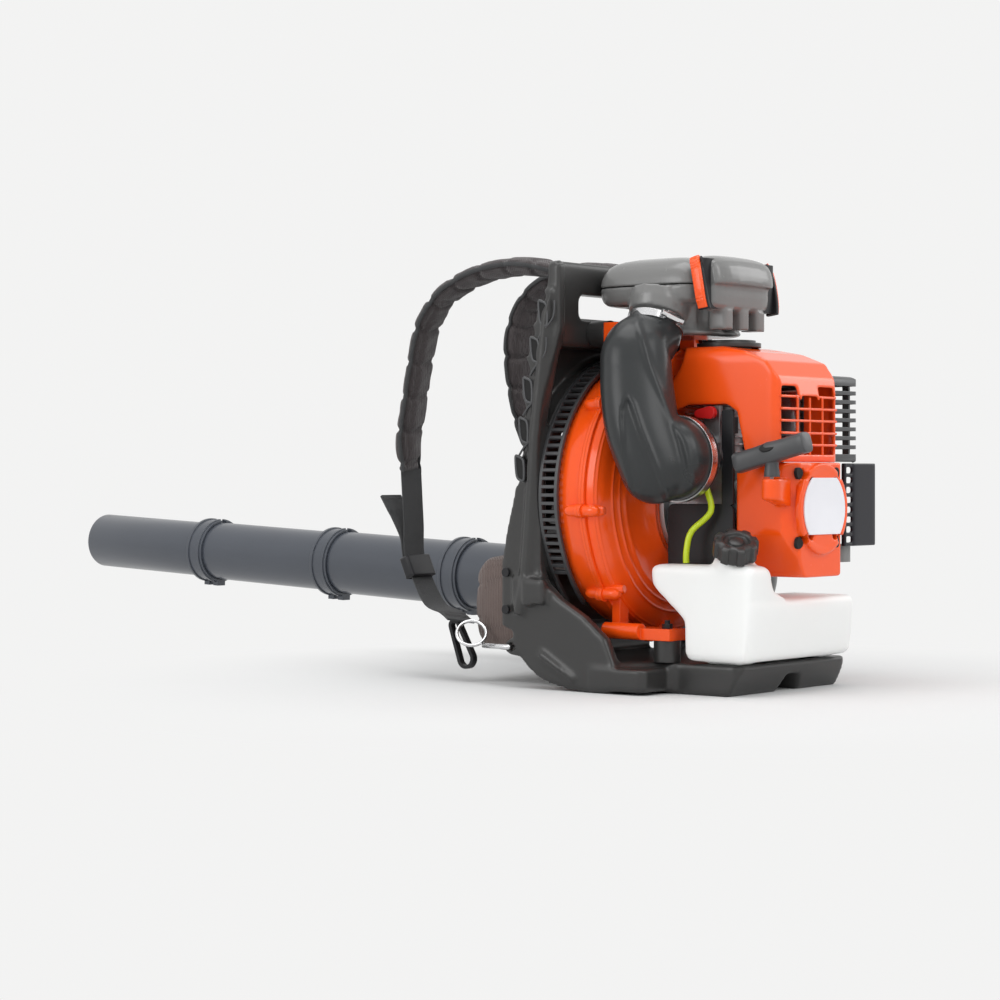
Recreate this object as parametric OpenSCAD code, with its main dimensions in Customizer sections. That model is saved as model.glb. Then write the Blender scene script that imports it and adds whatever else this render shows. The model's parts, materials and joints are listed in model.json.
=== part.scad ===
// Backpack leaf blower: a two-stroke engine and a fan on a back frame, with a four-piece
// blowing tube. Lengths are in millimetres and angles in degrees. Z is up, +Y is the way
// the wearer faces and +X is the wearer's right. The origin is on the ground, straight
// below the axis of the crankshaft, which runs along Y.

/* [Frame] */
// Width of the back frame across its side rails
frame_width = 306; // [290:1:330]
// Sideways place of the frame's middle
frame_mid_x = 3; // [-4:1:10]
// Thickness of a side rail
rail_wall = 14; // [8:1:20]
// Thickness of the back panel
panel_wall = 4; // [3:0.5:6]
// Height of the top of the grab bar
frame_height = 480; // [478:1:484]
// Height of the grab bar's section
grab_bar_h = 36; // [28:1:40]
// Clear height of the hand opening under the grab bar
grip_gap = 29; // [24:1:34]
// Clear width of the hand opening
grip_width = 202; // [160:1:220]
// Number of windows along each side rail
rail_windows = 6; // [3:1:6]

/* [Base] */
// Width of the base under the engine
base_width = 222; // [210:1:240]
// Height of the base's deck
deck_z = 34; // [30:1:36]
// Rear edge of the base at deck height
base_rear_y = -165; // [-180:1:-160]
// Diameter of a rubber mount
mount_d = 30; // [24:1:32]
// Length of a rubber mount
mount_len = 24; // [20:1:26]

/* [Fan] */
// Height of the crankshaft axis
crank_z = 203; // [200:1:206]
// Smallest inside radius of the fan scroll
scroll_r0 = 140; // [136:1:144]
// Growth of the scroll's radius up to its outlet
scroll_growth = 60; // [50:1:64]
// Wall of the fan housing
fan_wall = 3; // [2.5:0.5:4]
// Radius of the impeller
impeller_r = 126; // [110:1:130]
// Number of impeller blades
impeller_blades = 12; // [8:1:16]
// Outside diameter of the outlet duct
duct_d = 88; // [84:1:90]
// Angle between two ribs of the intake grille
grille_pitch = 3.5; // [3:0.5:6]

/* [Engine] */
// Diameter of the crankshaft's journals
crank_d = 15; // [12:0.5:16]
// Radial running clearance of the crankshaft in its bearings
crank_play = 0.03; // [0.01:0.01:0.08]
// Outside diameter of a crankshaft bearing
bearing_d = 35; // [32:1:37]
// Width of a crankshaft bearing
bearing_w = 11; // [9:1:12]
// Cylinder bore
bore_d = 44; // [38:1:46]
// Number of cooling fins on the cylinder
fins = 8; // [5:1:9]
// Radius of the flywheel
flywheel_r = 46; // [40:1:48]
// Top of the engine cover
cover_top = 383; // [378:1:386]
// Rear face of the engine cover
cover_rear_y = -190; // [-194:1:-186]

/* [Starter] */
// Rear face of the starter housing
starter_rear_y = -203; // [-206:1:-200]
// Radius of the raised round panel
dish_r = 50; // [46:1:52]
// Width of the pull handle's bar
handle_len = 92; // [80:1:100]
// Diameter of the starter rope
rope_d = 4; // [3:0.5:5]

/* [Fuel] */
// Top of the tank's tall end
tank_high_z = 142; // [138:1:144]
// Top of the tank's low end
tank_low_z = 105; // [100:1:107]
// Diameter of the fuel cap
cap_d = 49; // [44:1:52]
// Number of lobes round the fuel cap
cap_lobes = 8; // [6:1:12]
// Lean of the filler neck to the left
cap_lean_x = 24; // [10:1:30]
// Lean of the filler neck to the rear
cap_lean_y = 20; // [10:1:25]

/* [Air filter] */
// Underside of the filter box
filter_low_z = 431; // [428:1:433]
// Parting line of the filter box
filter_split_z = 452; // [446:1:458]
// Top of the filter box
filter_top_z = 483; // [478:1:486]
// Outside diameter of the intake hose
hose_d = 84; // [76:1:88]
// Diameter of the hose's carburettor end
hose_end_d = 92; // [88:1:96]

/* [Blowing tube] */
// Sideways place of the tube's axis
tube_x = 204; // [203:1:206]
// Rise of the tube's axis towards its tip
tube_rise = 2.7; // [0:0.1:4]
// Outside diameter of the swivel tube
tube_d0 = 88; // [86:1:90]
// Outside diameter of the first tube
tube_d1 = 85; // [83:1:86]
// Outside diameter of the second tube
tube_d2 = 81.5; // [80:0.5:83]
// Outside diameter of the nozzle tube
tube_d3 = 77.5; // [76:0.5:79]
// Wall of the tubes
tube_wall = 2.5; // [2:0.5:3]
// Length of one tube from joint to joint
tube_pitch = 241; // [236:1:246]
// Distance from the elbow to the first tube joint
first_joint = 378; // [374:1:384]
// Length of the rubber bellows
bellows_len = 84; // [76:1:90]

/* [Harness] */
// Sideways distance of a shoulder pad from the frame's middle
pad_offset = 84; // [78:1:90]
// Width of a shoulder pad
pad_width = 56; // [50:1:64]
// Thickness of a shoulder pad
pad_thick = 15; // [12:1:18]
// Width of the webbing
web_width = 36; // [30:1:38]
// Thickness of the webbing
web_thick = 2.4; // [2:0.2:3]
// Outside diameter of a D-ring
ring_d = 38; // [34:1:42]

/* [Hidden] */
$fn = 48;

// Colours of the finishes
orange = [0.93, 0.28, 0.06];
charcoal = [0.16, 0.16, 0.17];
black = [0.07, 0.07, 0.08];
grey = [0.42, 0.42, 0.43];
tube_grey = [0.20, 0.22, 0.25];
steel = [0.72, 0.72, 0.74];
alloy = [0.60, 0.61, 0.62];
cloth_black = [0.11, 0.10, 0.11];
cloth_brown = [0.27, 0.23, 0.22];
tank_white = [0.93, 0.94, 0.94];
fuel_yellow = [0.80, 0.88, 0.15];

// Gap between neighbours that only stand close to each other
gap = 0.3;
// Overlap that joins two pieces of one solid
bite = 0.5;
// Length that a cutting shape runs past what it cuts
past = 1;

left_x = frame_mid_x - frame_width / 2;
right_x = frame_mid_x + frame_width / 2;

// Front edge of the side rail as [height, Y] pairs, from the ground up
front_edge = [[0, 8], [2, 30], [7, 56], [14, 74], [24, 88], [34, 97], [54, 107], [64, 110], [69, 125],
    [141, 125], [177, 118], [234, 103], [262, 101], [324, 94], [380, 85], [435, 73],
    [frame_height - 4, 70]];
// Rear edge of the side rail as [height, Y] pairs, from the deck up
rear_edge = [[2, -30], [28, -34], [60, -20], [84, 10], [102, 43], [120, 64], [135, 70],
    [290, 70], [367, 53], [400, 43], [frame_height - 4, 43]];

// ---------- Shared shapes ----------

// Extrudes an outline drawn as (Y, Z) from x over the length len.
module along_x(x, len) {
    translate([x, 0, 0]) rotate([90, 0, 90]) linear_extrude(len) children();
}

// Extrudes an outline drawn as (X, Z) from y over the length len.
module along_y(y, len) {
    translate([0, y + len, 0]) rotate([90, 0, 0]) linear_extrude(len) children();
}

// Extrudes an outline drawn as (X, Y) from z over the length len.
module along_z(z, len) {
    translate([0, 0, z]) linear_extrude(len) children();
}

// A rectangle between two corners, with its own corners rounded.
module round_rect(a, b, r) {
    translate([a.x + r, a.y + r])
        offset(r, $fn = 24) square([b.x - a.x - 2 * r, b.y - a.y - 2 * r]);
}

// A box between two corners. Its edges along X, Y and Z are rounded by r.x, r.y and r.z.
module soft_box(a, b, r) {
    intersection() {
        along_x(a.x, b.x - a.x) round_rect([a.y, a.z], [b.y, b.z], r.x);
        along_y(a.y, b.y - a.y) round_rect([a.x, a.z], [b.x, b.z], r.y);
        along_z(a.z, b.z - a.z) round_rect([a.x, a.y], [b.x, b.y], r.z);
    }
}

// A plain box between two corners.
module box(a, b) {
    translate(a) cube(b - a);
}

// A cylinder along Y that starts at the point p.
module rod_y(p, len, r) {
    translate(p) rotate([-90, 0, 0]) cylinder(h = len, r = r);
}

// A cylinder along X that starts at the point p.
module rod_x(p, len, r) {
    translate(p) rotate([0, 90, 0]) cylinder(h = len, r = r);
}

// A cylinder along Z that starts at the point p.
module rod_z(p, len, r) {
    translate(p) cylinder(h = len, r = r);
}

// Skins a row of closed rings of points, which all have the same count.
module loft(rings) {
    n = len(rings[0]);
    m = len(rings);
    sides = [for (i = [0:m - 2], j = [0:n - 1])
        each [[i * n + j, (i + 1) * n + (j + 1) % n, i * n + (j + 1) % n],
              [i * n + j, (i + 1) * n + j, (i + 1) * n + (j + 1) % n]]];
    first = [for (j = [0:n - 1]) [m * n, j, (j + 1) % n]];
    last = [for (j = [0:n - 1]) [m * n + 1, (m - 1) * n + (j + 1) % n, (m - 1) * n + j]];
    points = [for (ring = rings) each ring];
    polyhedron(concat(points, [middle(rings[0]), middle(rings[m - 1])]),
        concat(sides, first, last));
}

// Mean of a list of points
function middle(p) = [for (k = [0:2]) sum([for (q = p) q[k]]) / len(p)];
function sum(v) = v * [for (x = v) 1];
function unit(v) = v / norm(v);

// A smooth curve through the points p, with k steps between neighbours.
function curve(p, k) = concat([for (i = [0:len(p) - 2], j = [0:k - 1])
    spline(p[max(i - 1, 0)], p[i], p[i + 1], p[min(i + 2, len(p) - 1)], j / k)],
    [p[len(p) - 1]]);
function spline(a, b, c, d, t) = 0.5 * (2 * b + (c - a) * t
    + (2 * a - 5 * b + 4 * c - d) * t * t + (3 * b - a - 3 * c + d) * t * t * t);

// Direction of the path p at its point i
function heading(p, i) = unit(p[min(i + 1, len(p) - 1)] - p[max(i - 1, 0)]);

// Rings round the path p. side is the direction of the section's width; w and t hold
// the width and thickness at each point, and the exponent e squares the section off.
function strap_rings(p, side, w, t, n, e) = [for (i = [0:len(p) - 1])
    let (d = heading(p, i), u = unit(side - (side * d) * d), v = cross(d, u))
    [for (j = [0:n - 1]) let (a = 360 * j / n)
        p[i] + u * (w[i] / 2 * signed_power(cos(a), e))
             + v * (t[i] / 2 * signed_power(sin(a), e))]];
function signed_power(x, e) = sign(x) * pow(abs(x), e);

// ---------- Back frame ----------

module rail_outline() {
    polygon(concat([for (p = front_edge) [p[1], p[0]]],
        [for (i = [len(rear_edge) - 1:-1:0]) [rear_edge[i][1], rear_edge[i][0]]]));
}

// One side rail: a thin flange in front, and the full wall behind it.
module rail(s) {
    x = s < 0 ? left_x : right_x - flange_wall;
    along_x(x, flange_wall) rail_outline();
    along_x(s < 0 ? left_x : right_x - rail_wall, rail_wall) intersection() {
        rail_outline();
        translate([-22, 0]) rail_outline();
    }
}
flange_wall = 4.5;

// A strip of thickness panel_wall along the rail's front edge, between two heights.
module panel_outline(z0, z1) {
    edge = [for (z = [z0:(z1 - z0) / 12:z1]) [lookup(z, front_edge), z]];
    polygon(concat(edge, [for (i = [len(edge) - 1:-1:0]) edge[i] - [panel_wall, 0]]));
}

// Plan of the base: wide at the rails, drawn in behind them, then straight to the rear.
module base_plan() {
    offset(14, $fn = 24) offset(-14) polygon([[base_left, 125], [base_left, 51],
        [left_x, 10], [left_x, -20], [base_left + 4, -66], [base_left, -80],
        [base_left, base_rear_y - 1], [base_right, base_rear_y - 1], [base_right, -80],
        [base_right + 4, -66], [right_x, -20], [right_x, 10], [base_right, 51],
        [base_right, 125]]);
}
base_left = 10 - base_width / 2;
base_right = 10 + base_width / 2;

// Side view of the base: the rear face leans out, the front edge sweeps up to the rails.
module base_side() {
    polygon([[base_rear_y + 15, 0], [51, 0], [79, 7], [97, 20], [105, 28], [80, deck_z],
        [base_rear_y + 1, deck_z], [base_rear_y, deck_z - 4]]);
}

module frame() {
    color(charcoal) difference() {
        union() {
            for (s = [-1, 1]) rail(s);
            along_x(left_x + bite, frame_width - 2 * bite) panel_outline(66, 420);
            grab_frame();
            grille_seat();
            intersection() {
                along_z(0, 60) base_plan();
                along_x(left_x, frame_width) base_side();
            }
            // Raised box and screw strip on the left rail
            soft_box([left_x - 5, 74, 92], [left_x + 1, 106, 126], [4, 0.4, 0.4]);
            for (x = [-hook_x, hook_x]) translate([frame_mid_x + x, 0, 0]) hook_eye();
        }
        for (i = [0:rail_windows - 1]) rail_window(430 - i * 37);
        base_pockets();
        elbow_notch();
        // Air slots through the panel, in front of the fan's eye
        for (z = [130:14:290], x = [-76, 14])
            translate([x, 60, z]) cube([68, 80, 6]);
        for (p = upper_mounts) {
            rod_y([p.x, 30, p.z], 60, 3.2);
            rod_y([p.x, grab_y + 22, p.z], 60, 10);
        }
        for (p = lower_mounts) rod_z([p.x, p.y, 20], 30, 3.2);
        for (p = rail_screws) rod_x([left_x - 6, p.y, p.z], 10, 2.6);
    }
}

// The top of the frame, with the hand opening under the grab bar.
module grab_frame() {
    bar_low = frame_height - grab_bar_h;
    mid = frame_mid_x;
    along_y(grab_y, 22) difference() {
        round_rect([left_x, 384], [right_x, frame_height], 10);
        round_rect([mid - grip_width / 2, bar_low - grip_gap],
            [mid + grip_width / 2, bar_low], 9);
    }
}

grab_y = 52;

// A wall that carries the grille's front ring back from the panel.
module grille_seat() {
    intersection() {
        along_y(70, 60) scroll_ring(grille_out - 5.6, grille_out);
        along_x(left_x, frame_width) translate([-1, 0]) rail_outline();
        box([left_x, 0, 66], [right_x, 130, 400]);
    }
}

module rail_window(z) {
    y = lookup(z, front_edge);
    lean = atan2(lookup(z - 20, front_edge) - lookup(z + 20, front_edge), 40);
    for (x = [left_x - 1, right_x - rail_wall - 1])
        translate([x, y - 15, z - 12]) rotate([lean, 0, 0]) cube([rail_wall + 2, 9, 24]);
}

// Hollows under the base, the foot notch at its rear and the alcoves at its sides.
module base_pockets() {
    box([base_left + 8, -148, -past], [-24, -66, deck_z - 5]);
    box([48, -148, -past], [base_right - 8, -66, deck_z - 5]);
    box([-110, -58, -past], [-30, 40, deck_z - 5]);
    box([30, -58, -past], [116, 40, deck_z - 5]);
    along_y(-200, 140) polygon([[-6, -1], [38, -1], [28, 19], [4, 19]]);
    box([left_x - 10, -78, 8], [-84, -2, deck_z - 5]);
    box([84, -78, 8], [right_x + 10, -2, deck_z - 5]);
}

// Room in the right rail for the outlet elbow, which passes through it.
module elbow_notch() {
    box([right_x - 60, -40, 40], [right_x + 1, 84, 150]);
}

// A lug with an eye low on the frame's front, for the strap's snap hook.
hook_x = 148;
hook_y = 112;
hook_z = 46;
module hook_eye() {
    difference() {
        translate([-5, 0, 0]) rotate([90, 0, 90]) linear_extrude(10) hull() {
            translate([hook_y, hook_z]) circle(9, $fn = 24);
            translate([hook_y - 14, hook_z]) square([2, 22], center = true);
        }
        rod_x([-10, hook_y, hook_z], 20, 4.5);
    }
}

// ---------- Intake grille ----------

// Outside of the grille, measured out from the scroll
grille_out = 8;
grille_first = -4;
grille_last = 212;

// Radius of the scroll at the angle a, counted from +X towards +Z. It grows from the
// lower left over the top to the right, and falls back to the tongue under the duct.
function scroll_r(a) = scroll_r0 + scroll_growth
    * (a < 0 ? max(0, 1 + a / 40) : pow(max(0, (200 - a) / 200), 1.2));

// Outline of the scroll grown by the distance d, over all angles
function scroll_points(d) = [for (a = [-60:5:295])
    (scroll_r(a) + d) * [cos(a), sin(a)] + [0, crank_z]];

// The ring between two outlines that follow the scroll.
module scroll_ring(d0, d1) {
    difference() {
        polygon(scroll_points(d1));
        polygon(scroll_points(d0));
    }
}

module intake_grille() {
    rear_y = 44;
    front_y = 70 - gap;
    color(black) difference() {
        union() {
            for (y = [rear_y, front_y - 4]) along_y(y, 4)
                scroll_ring(grille_out - 4, grille_out);
            for (a = [grille_first:grille_pitch:grille_last])
                translate([0, 0, crank_z]) rotate([0, -a, 0])
                    translate([scroll_r(a) + grille_out - 4.5, rear_y + 1, -1.8])
                        cube([4.2, front_y - rear_y - 2, 3.6]);
        }
        // The grille is open over the duct and the feet
        box([-100, 0, 0], [260, 90, crank_z - 95]);
        box([right_x - rail_wall - gap, 0, 0], [300, 90, 500]);
        box([100, 0, 0], [300, 90, 127]);
    }
}

// ---------- Fan ----------

fan_split_y = 12;
fan_front_y = 58;
fan_rear_y = -30;
duct_y = 14;
duct_start = [168, duct_y, 138];
duct_dir = [0.6, 0, -0.8];
housing_bosses = [134, 181, 221, 262, 92, 52, 16];

// Turns a child's Z axis into the direction of the outlet duct.
module on_duct() {
    translate(duct_start) rotate([0, 180 - atan2(0.6, 0.8), 0]) children();
}

// The whole scroll before it is split, drawn in by d: a stack of steps from the hub at
// the rear to the rim of the eye in front.
module scroll_body(d) {
    rod_y([0, fan_rear_y + d, crank_z], 18, hub_r - d);
    along_y(-15 + d, 8) offset(-40 - d, $fn = 24) polygon(scroll_points(0));
    along_y(-9 + d, 10) offset(-16 - d, $fn = 24) polygon(scroll_points(0));
    along_y(0 + d, 46 - 2 * d) offset(-d) polygon(scroll_points(0));
    along_y(45 - d, 7) offset(-4 - d, $fn = 24) polygon(scroll_points(0));
    along_y(51 - d, 7) offset(-10 - d, $fn = 24) polygon(scroll_points(0));
}
hub_r = 64;

module scroll_shell() {
    difference() {
        union() {
            scroll_body(0);
            on_duct() translate([0, 0, -70]) cylinder(h = 70, r = duct_d / 2);
            on_duct() translate([0, 0, -4]) cylinder(h = 4, r = duct_flange_r);
        }
        scroll_body(fan_wall);
        on_duct() translate([0, 0, -80]) cylinder(h = 90, r = duct_d / 2 - fan_wall);
    }
}

module flange(y, len) {
    along_y(y, len) difference() {
        union() {
            polygon(scroll_points(6));
            for (a = housing_bosses) translate(boss_at(a)) circle(8);
        }
        polygon(scroll_points(-fan_wall));
        for (a = housing_bosses) translate(boss_at(a)) circle(2.6);
        translate([110, 20]) square([200, 130]);
    }
}
function boss_at(a) = (scroll_r(a) + 7) * [cos(a), sin(a)] + [0, crank_z];

module fan_housing_front() {
    color(orange) {
        difference() {
            union() {
                intersection() {
                    scroll_shell();
                    box([-300, fan_split_y, 0], [300, 100, 500]);
                }
                flange(fan_split_y, 4);
            }
            rod_y([0, 30, crank_z], 60, 78);
        }
    }
}

module fan_housing_rear() {
    color(orange) difference() {
        union() {
            intersection() {
                scroll_shell();
                box([-300, -100, 0], [300, fan_split_y, 500]);
            }
            flange(fan_split_y - 4, 4);
            for (p = lower_mounts) housing_foot(p);
            for (p = upper_mounts) upper_lug(p);
        }
        rod_y([0, fan_rear_y - past, crank_z], 20, 24);
        rod_y([0, fan_wall, crank_z], fan_split_y, impeller_r + 3);
        for (a = crankcase_screws) rod_y(crank_point(52, a, fan_rear_y - past), 20, 2.6);
        for (p = lower_mounts) rod_z([p.x, p.y, 50], 40, 3.2);
        for (p = upper_mounts) rod_y([p.x, 0, p.z], 30, 3.2);
    }
}

crankcase_screws = [45, 135, 225, 315];
function crank_point(r, a, y) = [r * cos(a), y, crank_z + r * sin(a)];

// Places of the rubber mounts: below the housing's feet and behind the frame's top
lower_mounts = [[-95, -66, deck_z], [95, -66, deck_z]];
upper_mounts = [[-72, 0, 400], [78, 0, 400]];
foot_z = deck_z + mount_len;

// A foot of the rear housing, over a rubber mount.
module housing_foot(p) {
    s = sign(p.x);
    box([p.x - 16, p.y - 14, foot_z], [p.x + 16, fan_split_y - 4, foot_z + 13]);
    rod_y([p.x + s * 14, -41, foot_z + 9], 49, 9);
    box([p.x - 8 - s * 6, fan_rear_y + 27, foot_z + 5], [p.x + 8 - s * 6, 8, foot_z + 58]);
}

// A lug on top of the rear housing, behind a rubber mount.
module upper_lug(p) {
    box([p.x - 14, fan_split_y - 4, 350], [p.x + 14, fan_split_y, p.z + 12]);
    box([p.x - 14, fan_split_y - 4, p.z - 14], [p.x + 14, grab_y - mount_len, p.z + 12]);
}

module housing_screws() {
    color(steel) for (a = housing_bosses) {
        b = boss_at(a);
        rod_y([b.x, fan_split_y - 4, b.y], 8, 2.5);
        difference() {
            rod_y([b.x, fan_split_y - 8, b.y], 4, 4.4);
            translate([b.x, fan_split_y - 8.5, b.y]) rotate([-90, 0, 0])
                cylinder(h = 2.5, r = 2.2, $fn = 6);
        }
    }
}

module impeller() {
    eye_r = 62;
    y0 = 3.5;
    color(charcoal) {
        difference() {
            union() {
                rod_y([0, y0, crank_z], 3, impeller_r);
                rod_y([0, y0, crank_z], 38, 17);
                for (i = [0:impeller_blades - 1])
                    translate([0, 0, crank_z]) rotate([0, 360 * i / impeller_blades, 0])
                        blade(y0, eye_r);
            }
            rod_y([0, y0 - past, crank_z], 60, crank_d / 2);
        }
    }
}

// One curved blade, from the hub's plate to just behind the front wall.
module blade(y0, eye_r) {
    outer = 150;
    along_y(y0 + 2, 40) intersection() {
        translate([30, -118]) difference() {
            circle(outer);
            circle(outer - 3);
        }
        difference() {
            circle(impeller_r - 1);
            circle(eye_r - 26);
        }
        translate([0, -2]) square([200, 200]);
    }
}

// ---------- Engine ----------

case_front_y = fan_rear_y - gap;
case_rear_y = -128;
front_bearing_y = -56;
rear_bearing_y = -112;
cyl_y = -84;
cyl_low_z = 254;
cyl_top_z = 320;

module crankshaft() {
    color(steel) {
        rod_y([0, -158, crank_z], 62, crank_d / 2);
        rod_y([0, -81, crank_z], 122, crank_d / 2);
        for (y = [-98, -82]) rod_y([0, y, crank_z], 11, 33);
        rod_y([0, -98, crank_z + 20], 27, 8);
    }
}

module crank_bearings() {
    color(steel) for (y = [front_bearing_y, rear_bearing_y]) difference() {
        rod_y([0, y, crank_z], bearing_w, bearing_d / 2);
        rod_y([0, y - past, crank_z], bearing_w + 2 * past, crank_d / 2 + crank_play);
    }
}

module crankcase() {
    color(alloy) difference() {
        union() {
            rod_y([0, case_rear_y, crank_z], case_front_y - case_rear_y, 49);
            soft_box([-40, -122, 206], [40, -46, cyl_low_z], [3, 8, 6]);
            rod_y([0, case_front_y - 6, crank_z], 6, hub_r - 4);
            for (a = crankcase_screws) rod_y(crank_point(52, a, -52), 20, 7);
        }
        rod_y([0, -102, crank_z], 36, 38);
        rod_y([0, front_bearing_y - 12, crank_z], 12 + bearing_w, bearing_d / 2);
        rod_y([0, rear_bearing_y, crank_z], 12 + bearing_w, bearing_d / 2);
        rod_y([0, -140, crank_z], 120, crank_d / 2 + 1.5);
        rod_z([0, cyl_y, 205], 60, bore_d / 2);
        for (a = crankcase_screws) rod_y(crank_point(52, a, -60), 40, 2.6);
    }
}

module cylinder_barrel() {
    color(alloy) difference() {
        union() {
            rod_z([0, cyl_y, cyl_low_z], cyl_top_z - cyl_low_z, bore_d / 2 + 7);
            for (i = [0:fins - 1]) along_z(cyl_low_z + 2 + i * 8.6, 2.2)
                round_rect([-38, cyl_y - 38], [38, cyl_y + 38], 10);
            box([-40, cyl_y - 18, 258], [-20, cyl_y + 18, 284]);
            box([20, cyl_y - 20, 262], [44, cyl_y + 20, 296]);
        }
        rod_z([0, cyl_y, cyl_low_z - past], cyl_top_z - cyl_low_z - 8, bore_d / 2);
        rod_z([0, cyl_y, cyl_top_z - 20], 40, 5);
        rod_x([-50, cyl_y, 271], 40, 9);
        rod_x([10, cyl_y, 279], 50, 11);
    }
}

module spark_plug() {
    z = cyl_top_z;
    color(steel) {
        rod_z([0, cyl_y, z - 8], 9, 5);
        translate([0, cyl_y, z]) cylinder(h = 8, r = 9, $fn = 6);
        rod_z([0, cyl_y, z + 7], 14, 5.5);
        rod_z([0, cyl_y, z + 20], 6, 3);
    }
}

lead_path = [[4, -138, 276], [4, -146, 304], [2, -134, 332], [1, -112, 350], [0, -88, 355]];

module ignition_module() {
    z = cyl_top_z + 8 + gap;
    p = curve(lead_path, 4);
    one = [for (q = p) 7];
    color(black) {
        difference() {
            rod_z([0, cyl_y, z], 30, 9.5);
            rod_z([0, cyl_y, z - past], 20, 5.6);
        }
        box([-16, -146, 258], [20, -129, 284]);
        loft(strap_rings(p, [1, 0, 0], one, one, 10, 1));
    }
}

module flywheel() {
    color(alloy) difference() {
        union() {
            rod_y([0, -152, crank_z], 12, flywheel_r);
            for (i = [0:11]) translate([0, 0, crank_z]) rotate([0, 30 * i, 0])
                box([20, -160, -1.5], [flywheel_r - 2, -151, 1.5]);
        }
        rod_y([0, -170, crank_z], 60, crank_d / 2);
    }
}

carb_y = -77;
carb_z = 258;
hose_end_x = -82;
throttle_at = [-60, cyl_y];

module carburettor() {
    color(alloy) difference() {
        union() {
            soft_box([-70, carb_y - 24, 247], [-41, carb_y + 24, 283], [4, 3, 3]);
            rod_x([-77, carb_y, carb_z], 9, 30);
            rod_x([hose_end_x + gap, carb_y, carb_z], 5.7, hose_end_d / 2 - 2);
            rod_x([hose_end_x - 17, carb_y, carb_z], 18, hose_end_d / 2 - hose_wall - gap);
            box([-42, cyl_y - 18, 262], [-40.2, cyl_y + 18, 282]);
            box([-50, choke_y - 7, 275], [-44, choke_y + 14, choke_z + 8]);
        }
        rod_x([-100, carb_y, carb_z], 21, hose_end_d / 2 - 8);
        rod_x([-82, cyl_y, 271], 60, 8);
        rod_z([throttle_at.x, throttle_at.y, 249], 40, 3.05);
        rod_x([-60, choke_y, choke_z], 30, 3.05);
    }
}

// The carburettor's throttle lever, on an upright spindle.
module throttle_lever() {
    color(steel) translate(throttle_at) {
        rod_z([0, 0, 251], 34, 3);
        along_z(283 + gap, 2.4) hull() {
            circle(5, $fn = 24);
            translate([-6, -17]) circle(3.4, $fn = 24);
        }
    }
}

choke_y = -98;
choke_z = 309;
module choke_lever() {
    color([0.75, 0.12, 0.06]) {
        rod_x([-57, choke_y, choke_z], 13.5, 3);
        along_x(-61, 6) hull() {
            translate([choke_y, choke_z]) circle(7, $fn = 24);
            translate([choke_y + 15, choke_z - 1]) circle(4.5, $fn = 24);
        }
    }
}

// The black inner wall on the engine's left side, with its two stand-offs.
module engine_shroud() {
    color(black) {
        soft_box([-57, -127, 128], [-53, -40, 208], [8, 0.5, 0.5]);
        rod_x([-54, -100, 196], 4.7, 8);
        rod_x([-54, -60, 196], 4.7, 8);
        difference() {
            soft_box([-57, -127, 207], [-53, -112, 312], [3, 0.5, 0.5]);
            rod_x([-60, carb_y, carb_z], 10, 37);
        }
        rod_x([-54, -118, 300], 8, 4);
        box([-47, -121, 286], [-38 + bite, -115, 304]);
    }
}

// ---------- Engine cover ----------

cover_low = 254;
cover_x0 = -58;
cover_x1 = 66;

// Side view of the cover: a flat top that falls away over the rear face.
module cover_side(d, low) {
    offset(d) polygon([[-33, low], [-33, cover_top - 8], [-46, cover_top],
        [-104, cover_top], [-142, cover_top - 7], [-170, cover_top - 18],
        [-184, cover_top - 36], [cover_rear_y, cover_top - 60],
        [cover_rear_y, low]]);
}

module cover_block(d, low) {
    intersection() {
        along_x(cover_x0 - d, cover_x1 - cover_x0 + 2 * d) cover_side(d, low);
        along_y(-200, 190) round_rect([cover_x0 - d, low - 40], [cover_x1 + d, cover_top + d], 16);
        along_z(low, 200) round_rect([cover_x0 - d, cover_rear_y - d],
            [cover_x1 + d, -20], 16);
    }
}

module cylinder_cover() {
    vent_x0 = -50;
    vent_x1 = 56;
    color(orange) difference() {
        cover_block(0, cover_low);
        cover_block(-3, cover_low - 10);
        // Room for the neck of the intake hose
        on_hose_top() translate([0, 0, 20]) cylinder(h = 70, r = hose_neck_d / 2 + 10);
        // The front wall is open below the fins
        box([-48, -40, cover_low - 5], [48, -20, 300]);
        // Opening over the carburettor, on the left side
        along_x(cover_x0 - 5, 20) polygon([[-20, cover_low - 5], [-20, 300], [-69, 318],
            [-118, 318], [-132, 310], [-146, cover_low - 5]]);
        // Right side, open to the silencer
        box([cover_x1 - 6, -142, cover_low - 5], [cover_x1 + 5, -46, 352]);
        // Rear vent: openings between five thin bars and two posts
        for (i = [0:5], c = [0:2]) {
            w = (vent_x1 - vent_x0 - 2 * 4) / 3;
            translate([vent_x0 + c * (w + 4), cover_rear_y - 5, 264 + i * 11])
                cube([w, 14, 7.6]);
        }
        rod_z([cap_x, cap_y, cover_top - 20], 60, cap_hole_r);
        box([-18, -150, cover_top - 4.6], [40, -122, cover_top + 5]);
    }
}

cap_x = 0;
cap_y = -84;
cap_hole_r = 26;
module cover_cap() {
    color(charcoal) {
        rod_z([cap_x, cap_y, cover_top - 12], 13, cap_hole_r - gap);
        rod_z([cap_x, cap_y, cover_top], 5, 36);
        difference() {
            rod_z([cap_x, cap_y, cover_top + 4.5], 3.5, 30);
            rod_z([cap_x, cap_y, cover_top + 6], 6, 26);
        }
    }
}

// ---------- Recoil starter ----------

starter_low = 128;
starter_top = cover_low - gap;
starter_x0 = -52;
starter_x1 = 56;
handle_at = [-76, -190, 264];
pulley_y = -184;

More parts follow.
